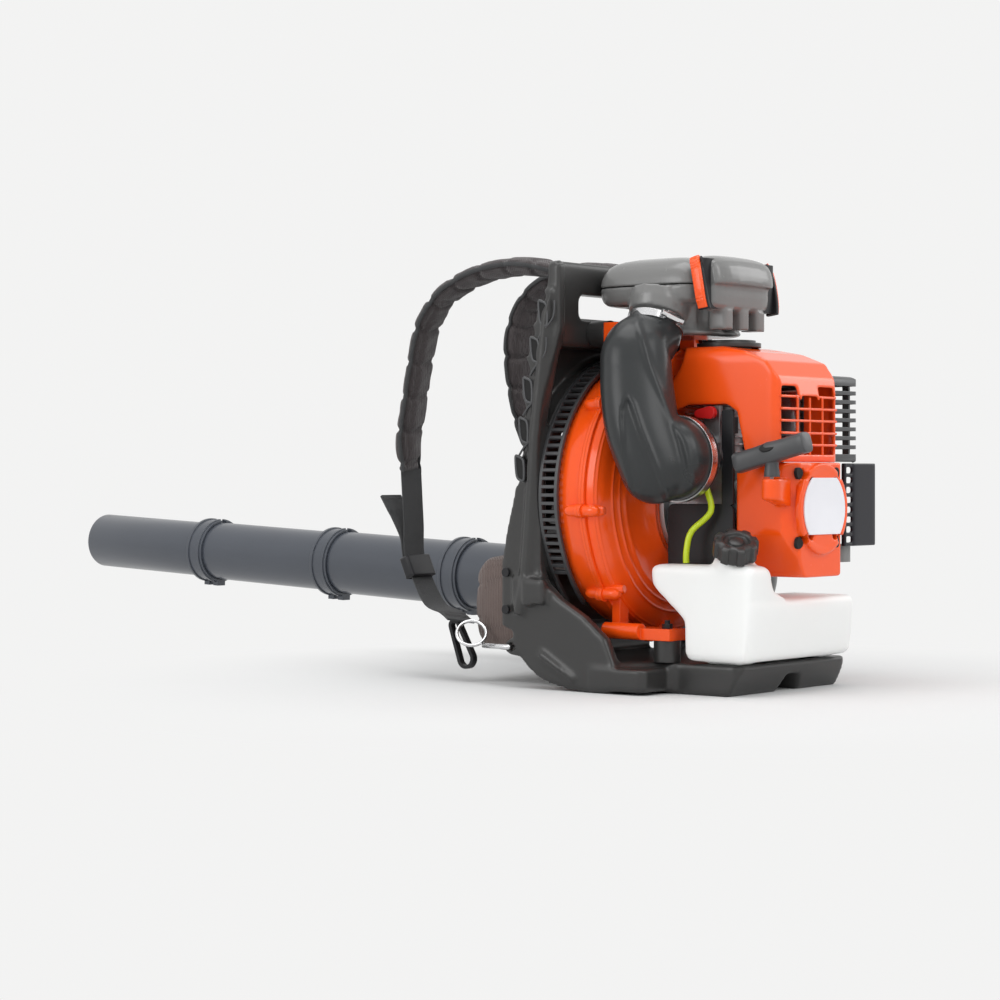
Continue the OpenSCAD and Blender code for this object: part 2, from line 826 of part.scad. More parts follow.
module starter_block(d) {
    intersection() {
        along_y(starter_rear_y - d, case_rear_y - starter_rear_y + d)
            offset(10 + d, $fn = 24) offset(-10) polygon([[starter_x0, starter_top],
                [starter_x0, 176], [-32, starter_low], [46, starter_low],
                [starter_x1, 160], [starter_x1, starter_top]]);
        along_z(starter_low - d, starter_top - starter_low + 2 * d)
            polygon([[starter_x0 - d, case_rear_y + 5], [starter_x0 - d, -186],
                [starter_x0 + 12, starter_rear_y - d], [starter_x1 - 12, starter_rear_y - d],
                [starter_x1 + d, -188], [starter_x1 + d, case_rear_y + 5]]);
    }
}

module starter_housing() {
    color(orange) difference() {
        union() {
            starter_block(0);
            rod_y([0, starter_rear_y - 6, crank_z], 7, dish_r);
            hull() {
                rod_z([handle_at.x, handle_at.y, 214], 22, 11, $fn = 32);
                box([starter_x0, handle_at.y - 8, 206], [starter_x0 + 2, handle_at.y + 10, 236]);
            }
        }
        translate([0, 3, 0]) starter_block(-3);
        intersection() {
            box([-100, case_rear_y - 12, 0], [100, case_rear_y + 5, 400]);
            translate([0, 20, 0]) starter_block(-3);
        }
        rod_y([0, starter_rear_y - 7, crank_z], 1.5, dish_r - 7);
        for (a = [50, 130, 230, 310]) rod_y(crank_point(dish_r - 12, a, -215), 20, 5);
        for (x = [-35, 35], z = [170, 241]) rod_y([x, -215, z], 20, 5.5);
        rod_z([handle_at.x, handle_at.y, 205], 60, rope_d / 2 + gap);
        translate([handle_at.x, handle_at.y, 229]) cylinder(h = 8, r1 = 5, r2 = 8.6);
        rod_x([handle_at.x, handle_at.y, 220], 40, rope_d / 2 + 1.2);
    }
    // The post that the pulley turns on
    color(orange) rod_y([0, starter_rear_y + 2, crank_z], 26, pulley_bore_r - 0.05);
}

pulley_bore_r = 8;
module recoil_pulley() {
    color(charcoal) difference() {
        union() {
            rod_y([0, pulley_y - 8, crank_z], 3, 38);
            rod_y([0, pulley_y - 6, crank_z], 11, 30);
            rod_y([0, pulley_y + 4, crank_z], 3, 38);
        }
        rod_y([0, pulley_y - 20, crank_z], 40, pulley_bore_r);
    }
}

module label_plate() {
    color("white") intersection() {
        rod_y([0, starter_rear_y - 7, crank_z], 1.5, dish_r - 8);
        box([-60, -300, crank_z - 28], [60, 0, crank_z + 34]);
    }
}

// The stretch of rope between the starter's guide and the pull handle.
rope_low_z = 222;
module recoil_rope() {
    color("white") rod_z([handle_at.x, handle_at.y, rope_low_z], 30, rope_d / 2);
}

module recoil_handle() {
    tilt = -14.5;
    half = handle_len / 2 - 9;
    color(black) {
        difference() {
            union() {
                translate(handle_at) rotate([tilt, 0, 0]) hull() {
                    for (s = [-1, 1]) translate([0, s * half, 0])
                        sphere(9, $fn = 20);
                    translate([0, 0, 2]) rotate([0, 0, 0]) sphere(11, $fn = 20);
                }
                rod_z([handle_at.x, handle_at.y, 238], 24, 8);
            }
            rod_z([handle_at.x, handle_at.y, 230], 23, rope_d / 2 + gap);
        }
    }
}

// ---------- Silencer and guards ----------

module muffler() {
    color(grey) {
        difference() {
            union() {
                soft_box([70, -132, 262], [126, -52, 340], [8, 12, 12]);
                rod_x([44 + gap, cyl_y, 279], 28, 16);
                rod_y([104, -146, 284], 20, 7);
            }
            box([72, -125, 268], [124, -59, 334]);
            rod_x([44, cyl_y, 279], 40, 10);
            rod_y([104, -150, 284], 40, 5.5);
        }
    }
}

module muffler_guard() {
    a = [cover_x1 + gap, -152, 253];
    b = [172, -44, 354];
    color(charcoal) difference() {
        soft_box(a, b, [10, 14, 14]);
        soft_box(a + [-10, 4, -10], b - [4, 4, 4], [7, 10, 10]);
        for (i = [0:7]) {
            z = 264 + i * 10.4;
            box([112, -160, z], [180, -138, z + 6]);
            box([160, -130, z], [180, -60, z + 6]);
        }
        box([60, -160, 270], [66 + 4, -40, 345]);
    }
}

module exhaust_guard() {
    a = [142, -150, 157];
    b = [212, -80, 254];
    color(black) difference() {
        soft_box(a, b, [6, 6, 10]);
        soft_box(a + [4, 4, -10], b + [-4, -4, -4], [4, 4, 6]);
        for (i = [0:3], c = [0:1])
            translate([154 + c * 26, -156, 172 + i * 19]) cube([16, 10, 11]);
    }
    color(black) {
        box([56 + gap, -146, 180], [144, -138, 196]);
        box([56 + gap, -146, 180], [60, -132, 230]);
    }
}

// ---------- Fuel ----------

tank_x0 = -108;
tank_step_x = -62;
tank_x1 = 109;
tank_z0 = deck_z + 3;
filler_at = [-84, -146, 136];
neck_h = 20;

module tank_solid(d) {
    intersection() {
        along_x(tank_x0 - d, tank_step_x + 30 - tank_x0 + 2 * d) offset(8 + d, $fn = 24) offset(-8)
            polygon([[-49, tank_high_z], [-53, 119], [-96, 82], [-98, tank_z0],
                [-176, tank_z0], [-185, tank_high_z - 4], [-183, tank_high_z]]);
        along_z(tank_z0 - d, 140) round_rect([tank_x0 - d, -186 - d], [tank_step_x + 30 + d, -48 + d], 10);
        along_y(-190, 160) offset(8 + d, $fn = 24) offset(-8) polygon([[tank_x0, tank_z0],
            [tank_step_x + 30, tank_z0], [tank_step_x + 30, tank_low_z],
            [tank_step_x + 4, tank_low_z + 9], [tank_step_x - 9, tank_high_z],
            [tank_x0, tank_high_z]]);
    }
    intersection() {
        along_x(tank_x0 - d, tank_x1 - tank_x0 + 2 * d) offset(8 + d, $fn = 24) offset(-8)
            polygon([[-97, tank_low_z], [-98, tank_z0], [-176, tank_z0],
                [-184, tank_low_z - 4], [-182, tank_low_z]]);
        along_z(tank_z0 - d, 140) round_rect([tank_x0 - d, -186 - d], [tank_x1 + d, -90 + d], 12);
        along_y(-190, 160) round_rect([tank_x0 - d, tank_z0 - d],
            [tank_x1 + d, tank_low_z + d], 9);
    }
}

// Turns a child's Z axis into the axis of the filler neck.
module on_filler() {
    translate(filler_at) rotate([cap_lean_y, -cap_lean_x, 0]) children();
}

module fuel_tank() {
    color(tank_white) difference() {
        union() {
            tank_solid(0);
            on_filler() translate([0, 0, -8]) cylinder(h = neck_h + 8, r = 19);
            for (x = [-80, 80]) box([x - 14, -160, deck_z], [x + 14, -120, tank_z0 + 4]);
        }
        tank_solid(-2.5);
        on_filler() translate([0, 0, -16]) cylinder(h = 40, r = 16);
    }
}

module fuel_cap() {
    r = cap_d / 2;
    color(charcoal) on_filler() translate([0, 0, neck_h + gap]) {
        difference() {
            union() {
                cylinder(h = 13, r = r - 3);
                translate([0, 0, 3]) cylinder(h = 14, r = r - 7);
                for (i = [0:cap_lobes - 1]) rotate(360 * i / cap_lobes)
                    translate([r - 5, 0, 0.6]) cylinder(h = 11.8, r = 5);
            }
            translate([0, 0, 14]) cylinder(h = 10, r = r - 11);
        }
        translate([0, 0, -12]) cylinder(h = 12 + bite, r = 15.7);
    }
}

hose_route = [[-62, -92, 246], [-64, -97, 226], [-66, -104, 200], [-74, -84, 178],
    [-78, -80, 158], [-79, -80, tank_high_z + 0.8]];
module fuel_hose() {
    p = curve(hose_route, 5);
    w = [for (q = p) 7];
    color(fuel_yellow) loft(strap_rings(p, [1, 0, 0], w, w, 12, 1));
}

// ---------- Air filter and intake hose ----------

box_x0 = -80;
box_x1 = 70;
box_front_y = grab_y - 2;
box_rear_y = -90;

// Side view of the filter box: a domed top over a straight lower edge.
module filter_side(low, high) {
    intersection() {
        round_rect([box_rear_y - 30, filter_low_z], [box_front_y, filter_top_z], 15);
        translate([box_rear_y, low]) square([box_front_y - box_rear_y, high - low]);
    }
}

module filter_block(low, high) {
    intersection() {
        along_x(box_x0, box_x1 - box_x0) filter_side(low, high);
        along_z(low, high - low) round_rect([box_x0, box_rear_y - 30], [box_x1, box_front_y], 24);
        along_y(box_rear_y, 150) round_rect([box_x0, filter_low_z - 20], [box_x1, filter_top_z], 12);
    }
}

// Axis of the hose where it leaves the filter: down, and out to the left
hose_top = [-62, -32, 426];
hose_lean = 24;
module on_hose_top() {
    translate(hose_top) rotate([0, 180 + hose_lean, 0]) children();
}

module filter_base() {
    color(grey) difference() {
        union() {
            filter_block(filter_low_z, filter_split_z);
            difference() {
                soft_box([-46, -84, 396], [50, 14, filter_low_z + 6], [10, 10, 14]);
                on_hose_top() translate([0, 0, 8])
                    cylinder(h = 40, r = hose_neck_d / 2 + 9);
            }
            on_hose_top() translate([0, 0, -12]) cylinder(h = 39, r = spout_r);
        }
        box([box_x0 + 4, box_rear_y - 5, filter_low_z + 4], [box_x1 - 4, box_front_y - 6,
            filter_split_z + 5]);
        on_hose_top() translate([0, 0, -14]) cylinder(h = 60, r = spout_r - 3);
        box([-34, -76, 400], [44, 0, filter_low_z + 5]);
    }
    color(charcoal) for (x = [-38, 42]) rod_z([x, -60, cover_top + gap], 16, 6);
}

module filter_top() {
    color(grey) difference() {
        filter_block(filter_split_z + gap, filter_top_z);
        box([box_x0 + 4, box_rear_y - 5, filter_split_z - 5],
            [box_x1 - 4, box_front_y - 6, filter_top_z - 3.5]);
    }
}

cover_y0 = -116;
module filter_cover() {
    y1 = box_rear_y - gap;
    color(charcoal) difference() {
        union() {
            soft_box([box_x0 + 8, cover_y0, 418], [box_x1 - 8, y1, filter_top_z - 2], [8, 12, 9]);
            for (x = [box_x0 + 8, box_x1 - 18])
                box([x, latch_y - 8, 424], [x + 10, y1, filter_top_z - 6]);
        }
        box([box_x0 + 18, cover_y0 + 8, 432], [box_x1 - 18, y1 + 5, filter_top_z - 8]);
        // The recessed band across the rear face
        soft_box([-30, cover_y0 - 5, 436], [40, cover_y0 + 3, 452], [2, 5, 2]);
        for (x = [box_x0 - 8, box_x1 - 18]) rod_x([x, latch_y, latch_z], 26, 3.1);
    }
}

latch_y = -101;
latch_z = 431;
// A ribbed latch that turns on a pin at its lower end.
module latch(x, s) {
    color(orange) {
        intersection() {
            union() {
                box([x - 3, latch_y - 9, 424], [x + 3, latch_y + 9, filter_top_z - 2]);
                for (z = [430:6:474]) box([x - 4, latch_y - 9, z], [x + 4, latch_y + 9, z + 2.6]);
            }
            along_x(x - 10, 20)
                round_rect([latch_y - 9, 424], [latch_y + 9, filter_top_z - 2], 4);
        }
        rod_x([min(x, x - s * 12), latch_y, latch_z], 12, 3);
    }
}

module filter_latch_left() {
    latch(box_x0 + 3.6, -1);
}

module filter_latch_right() {
    latch(box_x1 - 3.6, 1);
}

module filter_element() {
    color([0.85, 0.82, 0.70]) {
        box([-46, box_rear_y + 4, filter_low_z + 4 + gap], [54, box_rear_y + 50, filter_top_z - 6]);
    }
}

hose_wall = 3.5;
hose_neck_d = 60;
// Centre line of the intake hose, from the filter's spout down into its lower drum
hose_line = [on_spout(14), on_spout(32), [-85, -36, 376], [-99, -44, 351], [-109, -52, 320],
    [-117, -60, 290], [-121, -69, 266]];
function on_spout(s) = hose_top + s * [-sin(hose_lean), 0, -cos(hose_lean)];
spout_r = hose_neck_d / 2 - hose_wall - 2 * gap;
hose_path = curve(hose_line, 4);
function hose_width(t) = lookup(t, [[0, hose_neck_d], [0.18, hose_neck_d],
    [0.38, hose_d - 8], [0.6, hose_d], [1, hose_d - 4]]);
function hose_depth(t) = lookup(t, [[0, hose_neck_d], [0.18, hose_neck_d],
    [0.38, 58], [0.6, 54], [1, 50]]);

// Rings round the hose's centre line, drawn in by shrink. The ends run on by the length
// reach. The hose is widest across the view from the rear left.
function hose_rings(shrink, reach) = let (last = len(hose_path) - 1)
    [for (i = [0:last])
        let (t = i / last, d = heading(hose_path, i),
            c = hose_path[i] + d * (i == 0 ? -reach : i == last ? reach : 0),
            e = unit(cross(d, [0.78, 0.62, 0])), f = cross(d, e), k = t < 0.2 ? 1 : 0.85,
            w = hose_width(t) / 2 - shrink, h = hose_depth(t) / 2 - shrink)
        [for (j = [0:23]) let (a = 15 * j)
            c + e * (w * signed_power(cos(a), k)) + f * (h * signed_power(sin(a), k))]];

// The lower end of the hose: a drum about the carburettor's axis and a round heel.
module hose_end(shrink, reach) {
    hull() translate([hose_end_x + reach, carb_y, carb_z]) rotate([0, -90, 0])
        cylinder(h = 30 + reach, r = hose_end_d / 2 - shrink, $fn = 32);
    hull() translate([hose_end_x - 29, carb_y, carb_z])
        sphere(hose_end_d / 2 - shrink, $fn = 32);
    hull() translate(hose_heel) sphere(heel_r - shrink, $fn = 28);
}
hose_heel = [-121, -69, 268];
heel_r = 39;

module intake_hose() {
    seat_r = hose_end_d / 2 + 5;
    color(charcoal) difference() {
        union() {
            loft(hose_rings(0, 0));
            hose_end(0, 0);
        }
        loft(hose_rings(hose_wall, 2));
        hose_end(hose_wall, past);
        hull() rod_x([hose_end_x, carb_y, carb_z], 60, seat_r, $fn = 32);
        // Seat of the lower clamp
        difference() {
            hull() rod_x([hose_end_x - 12, carb_y, carb_z], 60, seat_r, $fn = 32);
            hull() rod_x([hose_end_x - 14, carb_y, carb_z], 64, hose_end_d / 2, $fn = 32);
        }
    }
}

// A worm-drive band round a hose: the band and its screw housing.
module clamp(r, band) {
    difference() {
        union() {
            cylinder(h = band, r = r + 1.6);
            translate([r - 2, -8, 0]) cube([10, 16, band]);
        }
        translate([0, 0, -past]) cylinder(h = band + 2 * past, r = r);
    }
    translate([r + 5, -14, band / 2]) rotate([-90, 0, 0]) cylinder(h = 28, r = 3.6);
}

module hose_clamps() {
    color(steel) {
        on_hose_top() translate([0, 0, 14.5]) rotate(-65) clamp(hose_neck_d / 2 + 1, 8.5);
        translate([hose_end_x - 11, carb_y, carb_z]) rotate([0, 90, 0]) rotate(60)
            clamp(hose_end_d / 2 + gap, 10);
        on_tube(bellows_s + 4) rotate(-60) clamp(bellows_r - 1.9, 10);
    }
}

// ---------- Outlet and bellows ----------

elbow_r = 60;
elbow_z = duct_start.z + duct_dir.z * elbow_r;
bellows_r = 45;

// A quarter bend from the housing's duct to the tube's direction, of the radius r.
module bend(r) {
    on_duct() translate([0, elbow_r, 0]) rotate([90, 0, -90])
        rotate_extrude(angle = 90, $fn = 64) translate([elbow_r, 0]) circle(r);
}

module outlet_elbow() {
    r = duct_d / 2 - 1.5;
    color(charcoal) difference() {
        union() {
            bend(r);
            on_duct() cylinder(h = 4, r = duct_flange_r);
            rod_y([tube_x, bend_end_y - bite, elbow_z], 4 + bite, r);
            rod_y([tube_x, bend_end_y, elbow_z], 20, spigot_r);
        }
        bend(r - 4);
        on_duct() translate([0, 0, -past]) cylinder(h = past + bite, r = r - 4);
        rod_y([tube_x, bend_end_y - bite, elbow_z], 40, spigot_r - 3);
    }
}
duct_flange_r = duct_d / 2 + 6;
bend_end_y = duct_y + elbow_r;
bellows_wall = 2.4;
cuff_r = bellows_r - 4.6;
spigot_r = cuff_r - 1.6;

// Places a child on the tube's axis, s millimetres past the elbow, with Z along the tube.
module on_tube(s) {
    translate([tube_x, bend_end_y, elbow_z]) rotate([-90 + tube_rise, 0, 0])
        translate([0, 0, s]) children();
}
bellows_s = 7.5;
bellows_end = bellows_s + bellows_len;

// Half section of the bellows: a wave of ribs between two plain cuffs.
module bellows_section(waves) {
    cuff = 18;
    pitch = (bellows_len - 2 * cuff) / waves;
    in = [for (i = [0:waves - 1], k = [0, 1]) [bellows_r - (k == 0 ? 7.4 : 1.4),
        cuff + pitch * (i + 0.25 + 0.5 * k)]];
    polygon(concat([[bellows_r - 2.2, 0], [bellows_r - 2.2, cuff]],
        [for (p = in) p + [1.2, 0]],
        [[bellows_r - 2.2, bellows_len - cuff], [bellows_r - 2.2, bellows_len],
         [bellows_r - 4.6, bellows_len], [bellows_r - 4.6, bellows_len - cuff]],
        [for (i = [len(in) - 1:-1:0]) in[i] - [1.2, 0]],
        [[bellows_r - 4.6, cuff], [bellows_r - 4.6, 0]]));
}

module bellows() {
    color(black) on_tube(bellows_s) rotate_extrude($fn = 64) bellows_section(5);
}

module bellows_clamp() {
    color(steel) on_tube(bellows_end - 14) rotate(-60) clamp(bellows_r - 1.9, 10);
}

// ---------- Blowing tubes ----------

// A tube along Z between two distances, with a round collar at its near end.
module blow_tube(s0, s1, d, collar_r, tip) {
    r = d / 2;
    difference() {
        union() {
            translate([0, 0, s0]) cylinder(h = s1 - s0, r = r, $fn = 72);
            if (collar_r > 0) collar(s0, collar_r);
        }
        translate([0, 0, s0 - past]) cylinder(h = s1 - s0 + 2 * past, r = r - tube_wall,
            $fn = 72);
        if (collar_r > 0) translate([0, 0, s0 - past])
            cylinder(h = 16 + past, r = collar_r - 3);
        if (collar_r > 0) collar_slot(s0, collar_r);
        if (tip) translate([0, 0, s1 - 10]) difference() {
            cylinder(h = 12, r = r + 2);
            translate([0, 0, -6]) sphere(r + 2.6);
        }
    }
}

// The collar that slips over the tube before it, and its two lower lugs.
module collar(s0, r) {
    translate([0, 0, s0]) cylinder(h = 30, r = r);
    translate([0, 0, s0 + 4]) cylinder(h = 4, r = r + 1.6);
    translate([0, 0, s0 + 24]) cylinder(h = 4, r = r + 1.6);
    for (z = [s0, s0 + 18]) translate([-7, r - 3, z]) cube([14, 9, 10]);
}

// The L-shaped bayonet slot in the top of a collar.
module collar_slot(s0, r) {
    rotate(180) {
        translate([-5, r - 5, s0 - past]) cube([7, 12, 13]);
        translate([-16, r - 8, s0 + 8]) cube([18, 16, 6]);
    }
}

joint_1 = first_joint;
joint_2 = first_joint + tube_pitch - 8;
joint_3 = first_joint + 2 * tube_pitch - 4;
tube_tip = first_joint + 3 * tube_pitch + 1;
lap = 14.5;

module swivel_tube() {
    s0 = bellows_end + 1;
    color(tube_grey) on_tube(0) difference() {
        union() {
            translate([0, 0, s0 - 19]) cylinder(h = 24, r = cuff_r - gap);
            translate([0, 0, s0]) cylinder(h = 6, r = bellows_r - 1);
            translate([0, 0, s0 + 5]) cylinder(h = joint_1 + lap - s0 - 5, r = tube_d0 / 2,
                $fn = 72);
            bayonet_pin(joint_1, tube_d0);
        }
        translate([0, 0, s0 - 20]) cylinder(h = joint_1 + lap, r = cuff_r - 3);
        translate([0, 0, s0 + 8]) cylinder(h = joint_1 + lap, r = tube_d0 / 2 - tube_wall,
            $fn = 72);
    }
}

// The pin that locks in the next collar's slot.
module bayonet_pin(s, d) {
    translate([-1.5, -d / 2 - 2.2, s + 8.4]) cube([4, 3.6, 5]);
}

module tube_1() {
    color(tube_grey) on_tube(0) {
        difference() {
            blow_tube(joint_1, joint_2 + lap, tube_d1, tube_d0 / 2 + 3.4, false);
            translate([0, 0, joint_1 - past]) cylinder(h = lap + 2 * past, r = tube_d0 / 2 + gap);
        }
        bayonet_pin(joint_2, tube_d1);
    }
}

module tube_2() {
    color(tube_grey) on_tube(0) {
        difference() {
            blow_tube(joint_2, joint_3 + lap, tube_d2, tube_d1 / 2 + 3.4, false);
            translate([0, 0, joint_2 - past]) cylinder(h = lap + 2 * past, r = tube_d1 / 2 + gap);
        }
        bayonet_pin(joint_3, tube_d2);
    }
}

module nozzle_tube() {
    color(tube_grey) on_tube(0) difference() {
        blow_tube(joint_3, tube_tip, tube_d3, tube_d2 / 2 + 3.4, true);
        translate([0, 0, joint_3 - past]) cylinder(h = lap + 2 * past, r = tube_d2 / 2 + gap);
    }
}

// ---------- Throttle handle ----------

handle_s = 200;
grip_lean = 12;
grip_low = 62;
grip_high = 168;

// Places a child in the handle's own frame: the origin is on the tube's axis, Z is up.
module on_handle() {
    translate([tube_x, bend_end_y + handle_s, elbow_z + handle_s * sin(tube_rise)])
        rotate([-grip_lean, 0, 0]) children();
}

trigger_z = 146;
trigger_y = 6;
module throttle_handle() {
    color(charcoal) difference() {
        union() {
            on_tube(handle_s - 22) cylinder(h = 44, r = tube_d0 / 2 + 5);
            on_handle() {
                along_z(40, grip_high - 42) round_rect([-13, -22], [13, 20], 12.9);
                translate([0, -3, grip_high - 14]) cylinder(h = 15, r = 22, $fn = 40);
            }
        }
        on_tube(handle_s - 40) cylinder(h = 80, r = tube_d0 / 2 + 0.1);
        on_handle() {
            box([-5.4, -4, 84], [5.4, 40, trigger_z + 8]);
            rod_x([-24, trigger_y, trigger_z], 48, 2.05);
            rod_x([-24, -8, grip_high - 6], 48, 3.05);
            box([4, -19, grip_high - 4], [12, -3.5, grip_high + 8]);
        }
    }
}

module throttle_trigger() {
    color(black) on_handle() {
        difference() {
            along_x(-4.8, 9.6) hull() {
                translate([trigger_y, trigger_z]) circle(5, $fn = 24);
                translate([21, 134]) circle(6, $fn = 24);
                translate([17, 100]) circle(5, $fn = 24);
                translate([9, 104]) circle(3, $fn = 24);
            }
        }
        rod_x([-12.6, trigger_y, trigger_z], 25.2, 2);
    }
}

module cruise_lever() {
    color(charcoal) on_handle() {
        rod_x([-24, -8, grip_high - 6], 28, 3);
        along_x(-27, 4.4) hull() {
            translate([-8, grip_high - 6]) circle(7, $fn = 24);
            translate([-26, grip_high + 6]) circle(4, $fn = 24);
        }
    }
}

module stop_switch() {
    color([0.8, 0.1, 0.05]) on_handle()
        box([4 + gap, -19 + gap, grip_high - 4 + gap], [12 - gap, -7 - gap, grip_high + 5]);
}

// ---------- Fasteners and rubber mounts ----------

rail_screws = [[left_x, 117, 130], [left_x, 117, 88]];
module frame_bolts() {
    color(steel) {
        for (p = lower_mounts) {
            rod_z([p.x, p.y, 18], 62, 3);
            translate([p.x, p.y, 23.4]) cylinder(h = 5, r = 6, $fn = 6);
            translate([p.x, p.y, foot_z + 13]) cylinder(h = 5, r = 6, $fn = 6);
        }
        for (p = upper_mounts) {
            rod_y([p.x, 2, p.z], 76, 3);
            translate([p.x, 3, p.z]) rotate([-90, 0, 0]) cylinder(h = 5, r = 6, $fn = 6);
            translate([p.x, grab_y + 22, p.z]) rotate([-90, 0, 0])
                cylinder(h = 5, r = 6, $fn = 6);
        }
        for (p = rail_screws) {
            rod_x([left_x - 3, p.y, p.z], 6, 2.5);
            rod_x([left_x - 3, p.y, p.z], 3, 5);
        }
    }
}

module isolators() {
    color(black) {
        for (p = lower_mounts) difference() {
            rod_z(p, mount_len, mount_d / 2);
            rod_z(p - [0, 0, past], mount_len + 2 * past, 3.2);
        }
        for (p = upper_mounts) difference() {
            rod_y([p.x, grab_y - mount_len, p.z], mount_len, mount_d / 2);
            rod_y([p.x, 0, p.z], 60, 3.2);
        }
    }
}

// ---------- Harness ----------

ring_out = 127;
ring_y = 190;
ring_z = 57;
ring_wire = 4;

// Centre lines of the shoulder pads as [Y, Z] pairs, from the frame's top over the
// shoulder. The right pad hangs closer to the frame than the left one.
left_pad_line = [[grab_y + 23, 466], [123, 477], [162, 480], [213, 473], [259, 455],
    [288, 428], [299, 402], [309, 360], [319, 306], [323, 282], [321, 256]];
right_pad_line = [[grab_y + 23, 466], [123, 481], [165, 489], [208, 486], [243, 471],
    [267, 447], [280, 416], [282, 388], [278, 354], [270, 320], [260, 288], [252, 264]];
pad_start_w = 30;
// Turn of a pad about the vertical, so that its outer edge lies a little further back
pad_turn = 15;

function pad_path(s) = curve([for (p = s < 0 ? left_pad_line : right_pad_line)
    [frame_mid_x + s * pad_offset, p[0], p[1]]], 4);
function pad_side(s, t) = let (a = pad_turn * min(1, t / 0.4)) [cos(a), -s * sin(a), 0];
// The pad is thin where it is sewn to the webbing, and quilted along its middle.
function pad_t(t) = t < 0.1 ? 5 + (pad_thick - 5) * t / 0.1
    : (pad_thick - 2.6 * pow(abs(cos(180 * 7 * t)), 6)) * (t > 0.93 ? 1 - 5 * (t - 0.93) : 1);
function pad_w(t) = t < 0.12 ? pad_start_w + (pad_width - pad_start_w) * sin(90 * t / 0.12)
    : t > 0.9 ? pad_width - 12 * (t - 0.9) / 0.1 : pad_width;

// Rings of a pad, whose width turns along its length.
function pad_rings(s) = let (p = pad_path(s), last = len(p) - 1)
    [for (i = [0:last]) let (k = i / last, d = heading(p, i), side = pad_side(s, k),
        u = unit(side - (side * d) * d), v = cross(d, u))
        [for (j = [0:19]) let (a = 18 * j) p[i] + u * (pad_w(k) / 2 * signed_power(cos(a), 0.7))
            + v * (pad_t(k) / 2 * signed_power(sin(a), 0.7))]];

module shoulder_pad_left() {
    color(cloth_black) loft(pad_rings(-1));
}

module shoulder_pad_right() {
    color(cloth_black) loft(pad_rings(1));
}

// Centre line of each lower webbing, from a little below its pad to its D-ring
left_web_line = [[-85, 315, 216], [-87, 311, 180], on_buckle(-1, 0, 16),
    on_buckle(-1, 0, -16), [-100, 266, 88], [-112, 231, 79], ring_joint(-1)];
right_web_line = [[89, 243, 224], [92, 239, 180], on_buckle(1, 0, 16),
    on_buckle(1, 0, -16), [105, 224, 94], [116, 214, 80], ring_joint(1)];
function web_path(s) = let (pad = pad_path(s), end = pad[len(pad) - 1],
    d = heading(pad, len(pad) - 1)) curve(concat([end + d * 1.4],
        [for (q = s < 0 ? left_web_line : right_web_line) q]), 4);

// Loose end of the webbing, from the buckle upwards and away from the wearer.
function tail_path(s) = let (b = buckle_at(s))
    curve([on_buckle(s, 3, -8), on_buckle(s, 3, 16), b + [1, 14, 34], b + [2, 30, 60],
        b + [2, 46, 84]], 4);
function buckle_at(s) = s < 0 ? [-91, 300, 131] : [96, 232, 132];
function buckle_lean(s) = s < 0 ? 24 : 9;
// Point in a buckle, out from the wearer's side and up along the webbing
function on_buckle(s, out, up) = let (a = buckle_lean(s))
    buckle_at(s) + [0, out * cos(a) + up * sin(a), up * cos(a) - out * sin(a)];

module webbing(s) {
    color(cloth_black) {
        for (p = [web_path(s), tail_path(s)]) loft(strap_rings(p, [1, 0, 0],
            [for (q = p) web_width], [for (q = p) web_thick], 12, 0.4));
    }
}

module webbing_left() {
    webbing(-1);
}

module webbing_right() {
    webbing(1);
}

// Sliding buckles that set the length of the webbing: a sleeve round both layers.
module strap_adjusters() {
    color(black) for (s = [-1, 1])
        translate(buckle_at(s)) rotate([-buckle_lean(s), 0, 0]) difference() {
            soft_box([-web_width / 2 - 4, -6, -14], [web_width / 2 + 4, 8, 14], [3, 5, 4]);
            box([-web_width / 2 - 0.8, -3.4, -20], [web_width / 2 + 0.8, 5.4, 20]);
        }
}

// D-ring at the lower end of each strap: its centre and the direction of its axis
function ring_axis(s) = unit([s * 0.62, -0.5, 0.6]);
function ring_centre(s) = [frame_mid_x + s * ring_out, ring_y, ring_z];
// Point just off the ring's rim, towards the direction v
function ring_rim(s, v, off) = let (a = ring_axis(s))
    ring_centre(s) + unit(v - (v * a) * a) * (ring_d / 2 + off);
function ring_joint(s) = ring_rim(s, [0, 0.77, 0.64], 2);

// Turns a child's Z axis into the direction v.
module towards(v) {
    rotate([0, acos(v.z / norm(v)), atan2(v.y, v.x)]) children();
}

module d_rings() {
    color(steel) for (s = [-1, 1]) translate(ring_centre(s)) towards(ring_axis(s))
        rotate_extrude($fn = 48) translate([ring_d / 2 - ring_wire / 2, 0])
            circle(ring_wire / 2);
}

// Stiff pull loop that hangs from the webbing beside each D-ring. Its upper end
// touches the webbing, which lies a little lower on the right.
function loop_top(s) = s < 0 ? [218, 64.7] : [213.7, 64.6];
module pull_loops() {
    color(black) for (s = [-1, 1]) {
        top = loop_top(s);
        along_x(frame_mid_x + s * (ring_out - 5) - 4, 8) difference() {
            hull() {
                translate(top) circle(8, $fn = 24);
                translate([201, 27]) circle(12, $fn = 32);
            }
            hull() {
                translate(top) circle(4, $fn = 24);
                translate([201, 27]) circle(8, $fn = 32);
            }
        }
    }
}

// Snap hooks from the D-rings to the eyes on the frame's front.
module snap_hooks() {
    color(steel) for (s = [-1, 1]) {
        eye_x = frame_mid_x + s * hook_x;
        near = ring_rim(s, [0, -0.82, -0.55], 3.4);
        bar(near, [eye_x + s * 8, hook_y + 16, hook_z], 3);
        bar([eye_x + s * 8, hook_y + 16, hook_z], [eye_x + s * 8, hook_y, hook_z], 3);
        rod_x([min(eye_x - 8, eye_x + s * 8), hook_y, hook_z], 16, 2.6);
        sphere_at([eye_x - s * 8, hook_y, hook_z], 3.6);
    }
}

